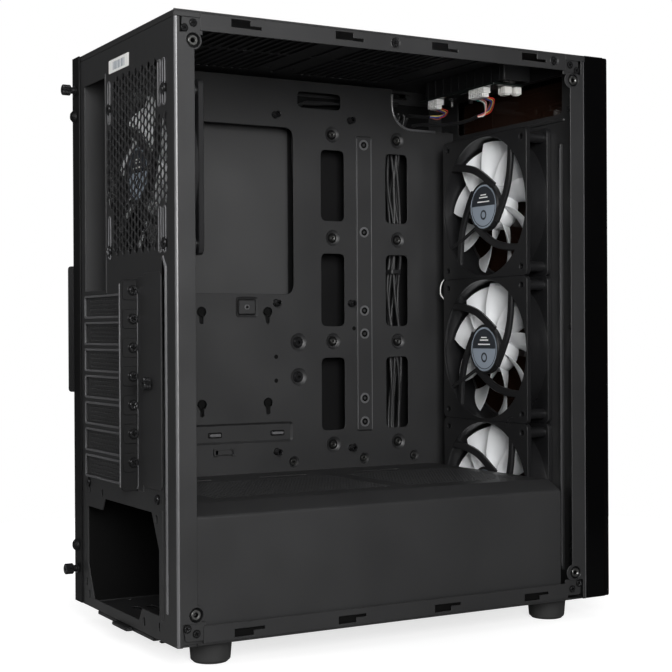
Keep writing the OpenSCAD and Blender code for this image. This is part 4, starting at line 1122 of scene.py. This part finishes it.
def io_board():
    piece = Piece("io_circuit_board", CARD, DULL_ZINC_PAINTED_SHADE, PLASTIC)
    low = BOARD_Z
    piece.panel("z", low, 1.6, rounded_rect(55, 300, 109, 31, 1),
                [circle(60, 304, 1.4, 14), circle(159, 327, 1.4, 14)], edge=0.1)
    for x in (POWER_X, LED_X):
        piece.slab(x - 3, STRIP_D - 3, low + 1.6, 6, 6, 4.2, finish=2)
        piece.lathe("z", x, STRIP_D, [(0, 6.6), (1.5, 6.6), (1.7, 6.3), (1.7, 5.5), (0, 5.5)], 16, finish=1,
                    base=low)
    for x, d, w, h in ((100, 305, 7, 7), (112, 318, 9, 5), (86, 322, 5, 4), (127, 309, 4, 4)):
        piece.slab(x, d, low - 1.2, w, h, 1.25, edge=0.2, finish=2)
        for k in range(int(w)):
            piece.slab(x + 0.3 + k, d - 0.6, low - 0.5, 0.4, h + 1.2, 0.3, edge=0, finish=1)
    for i in range(9):
        for j in range(2):
            piece.lathe("z", 69 + 2.6 * i, 312 + 3 * j, [(0, -0.6), (0.5, -0.4), (0.8, 0.1), (0, 0.1)], 10,
                        finish=1, base=low)
    for x, d in ((146, 322), (152, 309), (122, 325)):
        piece.lathe("z", x, d, [(0, -4.4), (1.6, -4.4), (2, -4), (2, 0.1), (0, 0.1)], 18, finish=1,
                    base=low)
    piece.done("io_board", slot="circuit_board")


def usb_ports():
    piece = Piece("usb_port_shells", ZINC, PLASTIC)
    high = PORT_TOP
    for x in USB_X:
        outer = rounded_rect(x - 6.6, STRIP_D - 2.9, 13.2, 5.8, 0.8)
        piece.panel("z", BOARD_Z + 5, high - BOARD_Z - 5, outer,
                    [rounded_rect(x - 6.1, STRIP_D - 2.4, 12.2, 4.8, 0.5)], edge=0.15)
        piece.panel("z", BOARD_Z + 1.6, 3.4, outer, edge=0.1)
        piece.slab(x - 5, STRIP_D - 1.6, BOARD_Z + 4.9, 10, 1.4, 10.5, edge=0.2, finish=1)
        for k in range(4):
            piece.slab(x - 4 + 2.3 * k, STRIP_D - 0.25, BOARD_Z + 6, 1, 0.15, 8.5, edge=0)
    piece.done("usb_ports", slot="plated_steel")


def audio_jacks():
    piece = Piece("audio_jack_barrels", PLASTIC, ZINC)
    high = PORT_TOP
    for x in AUDIO_X:
        piece.lathe("z", x, STRIP_D,
                    [(0, BOARD_Z + 1.6), (4, BOARD_Z + 1.6), (4, high - 0.4), (3.6, high), (2.7, high),
                     (2.7, high - 0.5), (1.8, high - 0.5), (1.8, BOARD_Z + 4), (0, BOARD_Z + 4)], 28)
        piece.ring("z", x, STRIP_D, 1.85, 2.6, high - 0.45, high - 0.15, 28, finish=1)
    piece.done("audio_jacks", slot="black_plastic")


def push_button(name, body, node, x, r):
    piece = Piece(name, GLOSSY, DULL_ZINC_PAINTED_SHADE)
    top = CHASSIS_H + 1.7
    piece.lathe("z", x, STRIP_D,
                [(0, top - 0.25), (0.6 * r, top - 0.2), (r - 0.6, top), (r - 0.1, top - 0.5),
                 (r, top - 1.1), (r, CHASSIS_H - 3), (2, CHASSIS_H - 3.4), (2, BOARD_Z + 8.6),
                 (0, BOARD_Z + 8.6)], 48)
    if r > 5:
        piece.lathe("z", x, STRIP_D,
                    [(0.62 * r, -0.12), (0.7 * r, -0.12), (0.7 * r, -0.02), (0.62 * r, -0.02)], 40,
                    finish=1, base=top)
    piece.done(node, slot="gloss_black", body=body)


def board_connectors():
    piece = Piece("io_plugs_and_sockets", SOCKET_WHITE, NYLON, DULL_ZINC_PAINTED_SHADE)
    for x, w in ((69, 21), (137.5, 13)):
        low, high = BOARD_Z - 8, BOARD_Z - 0.05
        piece.panel("z", low + 3.4, high - low - 3.4, rounded_rect(x, 300.3, w, 7.5, 0.5),
                    [rounded_rect(x + 1, 301.3, w - 2, 5.5, 0.3)], edge=0.15)
        piece.panel("z", low, 4.6, rounded_rect(x + 1.2, 301.4, w - 2.4, 5.3, 0.4))
        for k in range(int(w / 2.5)):
            piece.slab(x + 1.6 + 2.5 * k, 300, low + 0.6, 1.3, 1.2, 6.6, edge=0.15)
            piece.slab(x + 1.9 + 2.5 * k, 306.4, low - 0.15, 0.9, 0.9, 0.4, edge=0, finish=2)
    for x, d, w, h in ((58, 314, 10, 7), (57, 324, 7, 6)):
        piece.panel("z", BOARD_Z - 6, 5.9, rounded_rect(x, d, w, h, 0.5), edge=0.3, finish=1)
        piece.panel("z", BOARD_Z - 6.9, 1, rounded_rect(x + 1.2, d + 1, w - 2.4, h - 2, 0.4),
                    finish=1)
        for k in range(3):
            piece.slab(x + 1.2 + (w - 3) / 2 * k, d - 0.3, BOARD_Z - 5, 0.7, 0.5, 4, edge=0, finish=1)
    piece.done("board_connectors", slot="white_connectors")


# ---------- Cables ----------
# The routes' points (x, d, z) are those of the CAD model.

TRAY_FRONT = [(190, 296, 402), (191, 291, 390), (192, 288, 370), (192, 287, 335), (191, 289, 290),
              (193, 286, 240), (191, 288, 190), (192, 287, 140), (191, 284, 100), (190, 270, 66),
              (190, 250, 52)]
TRAY_REAR = [(190, 294, 412), (190, 276, 411), (190, 250, 408), (190, 216, 407), (190, 196, 405),
             (190, 190, 390), (191, 191, 350), (191, 196, 300)]
TRAY_LOW = [(197, 293, 398), (198, 282, 360), (197, 279, 300), (198, 279, 240), (197, 278, 180),
            (198, 280, 120), (198, 262, 72), (198, 240, 44)]
IO_LEAD = [(79, 304, 401.8), (79, 305, 399), (84, 311, 394), (98, 316, 391), (122, 316, 389), (150, 314, 390),
           (172, 309, 393), (184, 306, 393)]
BOARD_LEAD = [(144, 304, 401.8), (144.5, 305, 399.5), (149, 310, 397), (160, 309, 398), (174, 304, 400),
              (184, 302, 402)]


def smooth_path(points, steps):
    """Points of the smooth curve through a route's points."""
    p = [Vector(q) for q in points]
    out = []
    for i in range(len(p) - 1):
        a, b, c, e = p[max(i - 1, 0)], p[i], p[i + 1], p[min(i + 2, len(p) - 1)]
        for k in range(steps):
            t = k / steps
            out.append(tuple(0.5 * (2 * b + (c - a) * t + (2 * a - 5 * b + 4 * c - e) * t * t
                                    + (3 * b - a - 3 * c + e) * t ** 3)))
    return out + [tuple(p[-1])]


def bundle(piece, route, strands, r, spread, twist):
    """Several jackets lying round a route and winding slowly about it."""
    path = [Vector(q) for q in smooth_path(route, 6)]
    for s in range(strands):
        line = []
        for i, p in enumerate(path):
            along = heading(path, i)
            side = along.cross(Vector((0.3, 1, 0.2))).normalized()
            other = along.cross(side)
            a = 2 * math.pi * s / strands + twist * i + 0.5 * math.sin(0.35 * i + 2.1 * s)
            line.append(p + (side * math.cos(a) + other * math.sin(a)) * spread)
        piece.tube(line, r, 10)


def tray_cables():
    # The front bundle is drawn 3 mm further forward than in the CAD model
    front = [(x, d + 3, z) for x, d, z in TRAY_FRONT]
    for name, route, node, strands, r, spread, twist in (
        ("front_cable_bundle", front, "cable_tray_front", 8, 1.25, 4.8, 0.07),
        ("fan_cable_pair", TRAY_REAR, "cable_tray_rear", 2, 1.2, 1.3, 0.08),
        ("low_cable_bundle", TRAY_LOW, "cable_tray_low", 4, 1.2, 2.4, 0.09),
    ):
        piece = Piece(name, JACKET)
        bundle(piece, route, strands, r, spread, twist)
        piece.done(node, slot="cable_jacket")


def io_leads():
    """Coloured wires out of the two plugs, which gather into jacketed leads."""
    piece = Piece("io_lead_wires", JACKET, *WIRES)
    for route, x0, w, count in ((IO_LEAD, 71, 17, 7), (BOARD_LEAD, 139, 10, 4)):
        path = [Vector(q) for q in smooth_path(route, 4)]
        knot = 12    # the wires enter their jacket at this point of the path
        for k in range(count):
            a = 2 * math.pi * k / count
            about = Vector((0, math.cos(a), math.sin(a)))
            start = Vector((x0 + w * k / (count - 1), 306.4, BOARD_Z - 7.4))
            out = start + Vector((1, 7 + 0.8 * (k % 4), -2.2 - 0.5 * (k % 3)))
            low = start.lerp(path[knot], 0.6) + Vector((0, 7, -2.5)) + 1.3 * about
            line = [start, start + Vector((0, 2, -0.8)), out, low, path[knot] + 0.7 * about]
            piece.tube(smooth_path(line, 5), 0.5, 8, 1 + (2 * k) % len(WIRES))
        piece.tube(path[knot:], 1.6, 10)
    # The fans' thin lead, which hangs free between two frames
    loop = [(161, 326, 259), (166, 325, 255), (168, 324, 250), (168, 324, 244), (165, 325, 240),
            (161, 326, 238)]
    piece.tube(smooth_path(loop, 4), 0.5, 8, 4)
    piece.done("cable_io_leads", slot="cable_jacket")


def cable_ties():
    piece = Piece("cable_tie_loops", PLASTIC)
    for z in (205, 262):
        piece.panel("z", z, 3.5, rounded_rect(TRAY_X + SHEET, 282, 14.5, 11, 3, 6),
                    [rounded_rect(TRAY_X + SHEET + 1.2, 283.2, 12.1, 8.6, 2.2, 6)], edge=0.3)
        piece.slab(TRAY_X + SHEET + 9, 279.4, z - 0.7, 5, 3.4, 4.9, edge=0.4)
    piece.done("cable_ties", slot="black_plastic")


# ---------- Front and side panels ----------


def front_panel_frame():
    piece = Piece("front_bezel", GLOSSY, PLASTIC)
    back = CHASSIS_D + GAP
    depth = FRONT_END - 4 - back
    for x in (0, CASE_W - 3):
        piece.panel("x", x, 3, rect(back, 0, depth, CHASSIS_H), edge=0.7)
    vents = [rounded_rect(22 + 27 * i, back + 4, 20, 8, 2) for i in range(6)]
    for z in (0, CHASSIS_H - 3):
        piece.panel("z", z, 3, rect(2.9, back, CASE_W - 5.8, depth), vents, edge=0.5)
    for z in (3, CHASSIS_H - 11):
        piece.slab(8, back, z, CASE_W - 16, 3, 8, finish=1)
    # Stiffening ribs behind the side walls
    for x in (3, CASE_W - 5):
        for k in range(9):
            piece.slab(x, back + 1, 20 + 47 * k, 2, depth - 3, 1.6, finish=1)
    snap = [(0, -6), (1.6, -6), (2.7, -4.6), (3.15, -2.6), (2.6, -0.6), (3.15, 0), (3.15, 1), (0, 1)]
    for x, z in SNAP_PINS:
        piece.lathe("d", x, z, [(r, back + d) for r, d in snap], 28, finish=1)
        piece.slab(2 if x < 100 else x - 4, back, z - 5, 16, 3, 10, finish=1)
    piece.done("front_panel_frame", slot="gloss_black", body="front_panel")


def front_glass():
    piece = Piece("front_smoked_glass", GLASS, GLOSSY)
    low = FRONT_END - 4
    rim = rounded_rect(0, 0, CASE_W, CHASSIS_H, 2.5, 5)
    core = rounded_rect(0.8, 0.8, CASE_W - 1.6, CHASSIS_H - 1.6, 2, 5)
    piece.panel("d", low, 4, core, edge=0.1)
    piece.panel("d", low, 4, rim, [core], edge=0.3, finish=1)
    piece.panel("d", low - 0.2, 0.19, rounded_rect(3.1, 3.1, CASE_W - 6.2, CHASSIS_H - 6.2, 1),
                [rounded_rect(11, 11, CASE_W - 22, CHASSIS_H - 22, 3)], edge=0, finish=1)
    piece.done("front_glass", slot="tinted_glass", body="front_panel")


def right_side_panel():
    piece = Piece("right_cover", STEEL, STEEL_PAINTED_SHADE, STEEL_INSIDE_PAINTED_LIGHT)
    low, high = 0.3, CHASSIS_H - 0.3
    x = CASE_W - SHEET
    back = -SHEET - GAP
    front = CHASSIS_D - 0.5
    piece.panel("x", x, SHEET, rect(back + FOLD_R, low, front - back - FOLD_R, high - low), edge=0.3)
    # Lit and shaded parts of the inner face, as painted light and painted shade
    piece.panel("x", x - 0.06, 0.05, rect(3, 3, 187, CHASSIS_H - 6), edge=0, finish=2)
    piece.panel("x", x - 0.06, 0.05, rect(190, 3, CHASSIS_D - 197, CHASSIS_H - 6), edge=0, finish=1)
    piece.fold("z", low, high - low, (CASE_W, back), (-1, 1))
    # The rear flange, the pull and its dimples are in painted shade
    holes = [circle(*spot, SCREW_HOLE_R) for spot in SIDE_SCREWS]
    piece.panel("d", back, SHEET, rect(187, low, CASE_W - 187 - FOLD_R, high - low), holes,
                finish=1)
    piece.panel("x", x, SHEET, rounded([(-5.5, 164.7), (back + 1.8, 164.7), (back + 1.8, 264), (-5.5, 264)],
                                       (4, 0, 0, 4), 6), edge=0.35, finish=1)
    for z in (44.5, 381.6):
        piece.lathe("d", 197.5, z, [(0, -3), (3, -2.8), (4.6, -1.2), (5, 0.1), (0, 0.1)], 24, finish=1,
                    base=back)
    for d in HOOKS:
        for z in (4.6, CHASSIS_H - 7.6):
            lip = CHASSIS_W - SHEET - 1.4
            piece.slab(lip, d + 15, z, CASE_W - lip - 0.2, 6, 3, edge=0.2)
            piece.slab(lip, d + 15, z, 1, 13, 3, edge=0.2)
    piece.done("right_side_panel", slot="black_steel", body="right_panel")


# ---------- Dust filters ----------


def top_dust_filter():
    piece = Piece("top_filter_mesh", PLASTIC, MESH)
    z = CHASSIS_H + GAP
    windows = [rounded_rect(26, 34 + 63.75 * k, 150, 58, 3) for k in range(4)]
    piece.panel("z", z, 1.4, rounded_rect(18, 26, 166, 269, 5), windows, edge=0.4)
    piece.panel("z", z + 0.4, 0.5, rounded_rect(22, 30, 158, 261, 3), edge=0, finish=1)
    piece.done("top_dust_filter", slot="filter_mesh", body="top_filter")


def psu_dust_filter():
    piece = Piece("psu_filter_mesh", PLASTIC, MESH)
    windows = [rounded_rect(52, 10 + 55 * k, 97.7, 49, 3) for k in range(3)]
    piece.panel("z", -3.4, 2.6, rect(45.5, 1, 110.7, 176), windows, edge=0.3)
    piece.panel("z", -2.4, 0.6, rect(49, 5, 103.7, 168), edge=0, finish=1)
    piece.panel("z", -3.4, 2.6, rounded([(85, -4), (115, -4), (115, 1.4), (85, 1.4)], (2.5, 2.5, 0, 0)),
                edge=0.5)
    piece.done("psu_dust_filter", slot="filter_mesh", body="psu_filter")


def rear_sticker():
    """Blank sticker on the rear face."""
    piece = Piece("blank_rear_sticker", STICKER, FILM_PALE)
    piece.panel("d", -0.12, 0.11, rounded_rect(83.5, 403, 40.5, 9.7, 0.8), edge=0)
    for k in range(11):
        piece.panel("d", -0.14, 0.03, rect(92 + 2.2 * k, 404.8, 0.7 + 0.5 * (k * 7 % 3), 6), edge=0, finish=1)
    piece.done(slot="label_film")


# ---------- Building ----------

rear_panel()
top_panel()
bottom_panel()
front_bulkhead()
motherboard_tray()
psu_shroud()
for number in range(1, SLOTS + 1):
    slot_cover(number)
slot_cover_screws()
slot_retainer_plate()
glass_panel_standoffs()
corner_screws()
assembly_screws()
tray_screws()
motherboard_standoffs()
for where, spot in zip(("upper", "lower"), SIDE_SCREWS[::-1]):
    thumbscrew(f"{where}_side_thumbscrew", *spot, seat=-SHEET - 2 * GAP, neck=4, head_r=4.2, head_l=6.5,
               body=f"{where}_thumbscrew", node=f"side_thumbscrew_{where}")
thumbscrew("retainer_thumbscrew_head", *RETAINER_SCREW, seat=-SHEET - GAP, neck=0.5, head_r=4.6,
           head_l=5.2, body="retainer_thumbscrew", node="slot_thumbscrew")
feet()
for fan in FANS:
    fan_frame(fan)
    fan_rotor(fan)
fan_labels()
fan_bearings()
fan_screws()
io_housing()
io_board()
usb_ports()
audio_jacks()
push_button("power_button_cap", "power_key", "power_button", POWER_X, 8.5)
push_button("led_button_cap", "led_key", "led_button", LED_X, 4)
board_connectors()
tray_cables()
io_leads()
cable_ties()
front_panel_frame()
front_glass()
right_side_panel()
top_dust_filter()
psu_dust_filter()
rear_sticker()

for name, finish in (("drive_cage", STEEL_IN), ("drive_tray_upper", PLASTIC), ("drive_tray_lower", PLASTIC)):
    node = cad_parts[name]
    node.data.materials.clear()
    node.data.materials.append(finish)

# ---------- Stage, light and camera ----------

FLOOR_R = 0.7


def floor():
    """Round pale floor that brightens evenly from the case outwards."""
    mesh = bmesh.new()
    bmesh.ops.create_circle(mesh, cap_ends=True, cap_tris=True, segments=96, radius=FLOOR_R)
    data = bpy.data.meshes.new("studio_floor")
    mesh.to_mesh(data)
    mesh.free()
    nodes = surface("studio_paper", (0.42, 0.42, 0.42), 0.9, relief=0, mottle=0.004, Specular_IOR_Level=0.0)
    far = nodes.add("ShaderNodeVectorMath", nodes.where, operation="LENGTH").outputs["Value"]
    glow = nodes.span(far, 0.1, FLOOR_R * 0.7, 0.72, 1.0)
    # The glow is for the camera: the case sees only the paper's own light
    ray = nodes.add("ShaderNodeLightPath").outputs["Is Camera Ray"]
    seen = nodes.add("ShaderNodeMath", glow, ray, operation="MULTIPLY")
    nodes.join(seen.outputs["Value"], nodes.shader.inputs["Emission Strength"])
    nodes.shader.inputs["Emission Color"].default_value = (1, 1, 1, 1)
    data.materials.append(nodes.material)
    piece = bpy.data.objects.new("studio_floor", data)
    piece.location.z = BASE - FOOT_H * MM - 0.0002
    bpy.context.scene.collection.objects.link(piece)


def softbox(name, place, size, power, aim=(CASE_W / 2, -CHASSIS_D / 2, CHASSIS_H / 2), spread=180):
    """A square area light that faces a spot of the case."""
    lamp = bpy.data.lights.new(name, "AREA")
    lamp.energy = power
    lamp.size = size
    lamp.spread = math.radians(spread)
    holder = bpy.data.objects.new(name, lamp)
    holder.location = place
    spot = ORIGIN + MM * Vector(aim)
    holder.rotation_euler = (spot - Vector(place)).to_track_quat("-Z", "Y").to_euler()
    bpy.context.scene.collection.objects.link(holder)


def studio_world():
    """Even backdrop for the camera, and a soft sky, brighter above, for the light."""
    world = bpy.data.worlds.new("studio")
    nodes = Nodes(world)
    nodes.tree.nodes.clear()
    where = nodes.add("ShaderNodeTexCoord").outputs["Generated"]
    up = nodes.add("ShaderNodeSeparateXYZ", where).outputs["Z"]
    tone = nodes.ramp(nodes.span(up, -1, 1, 0, 1), (0, (0.04, 0.04, 0.04)), (1, (0.8, 0.8, 0.81)))
    sky = nodes.add("ShaderNodeBackground", tone, Strength=0.2)
    plain = nodes.add("ShaderNodeBackground", Color=(1, 1, 1, 1))
    ray = nodes.add("ShaderNodeLightPath").outputs["Is Camera Ray"]
    mix = nodes.add("ShaderNodeMixShader", ray, sky.outputs["Background"], plain.outputs["Background"])
    nodes.add("ShaderNodeOutputWorld", mix.outputs["Shader"])
    bpy.context.scene.world = world


def camera():
    """The camera, at the case's open left side and a little behind it."""
    turn, tilt, roll = (math.radians(a) for a in (-29.538, -0.17, 0.3))
    forward = Vector((math.cos(turn) * math.cos(tilt), math.sin(turn) * math.cos(tilt), math.sin(tilt)))
    level = forward.cross(Vector((0, 0, 1))).normalized()
    upright = level.cross(forward)
    right = level * math.cos(roll) - upright * math.sin(roll)
    up = right.cross(forward)
    lens = bpy.data.cameras.new("camera")
    lens.lens = 75.51
    lens.sensor_width = 36
    lens.clip_start = 0.01
    holder = bpy.data.objects.new("camera", lens)
    place = ORIGIN + Vector((-0.86946, 0.37032, 0.21112))
    holder.matrix_world = Matrix.Translation(place) @ Matrix((right, up, -forward)).transposed().to_4x4()
    bpy.context.scene.collection.objects.link(holder)
    bpy.context.scene.camera = holder


floor()
softbox("left_key", (-1.2, 0.45, 0.55), size=0.6, power=6, aim=(0, -80, 420), spread=80)
softbox("rear_edge_light", (-0.55, 1.6, 0.8), size=0.6, power=8)
softbox("top_light", (0.1, -0.2, 2.4), size=1.4, power=8)
studio_world()
camera()
bpy.context.scene.view_settings.view_transform = "Standard"
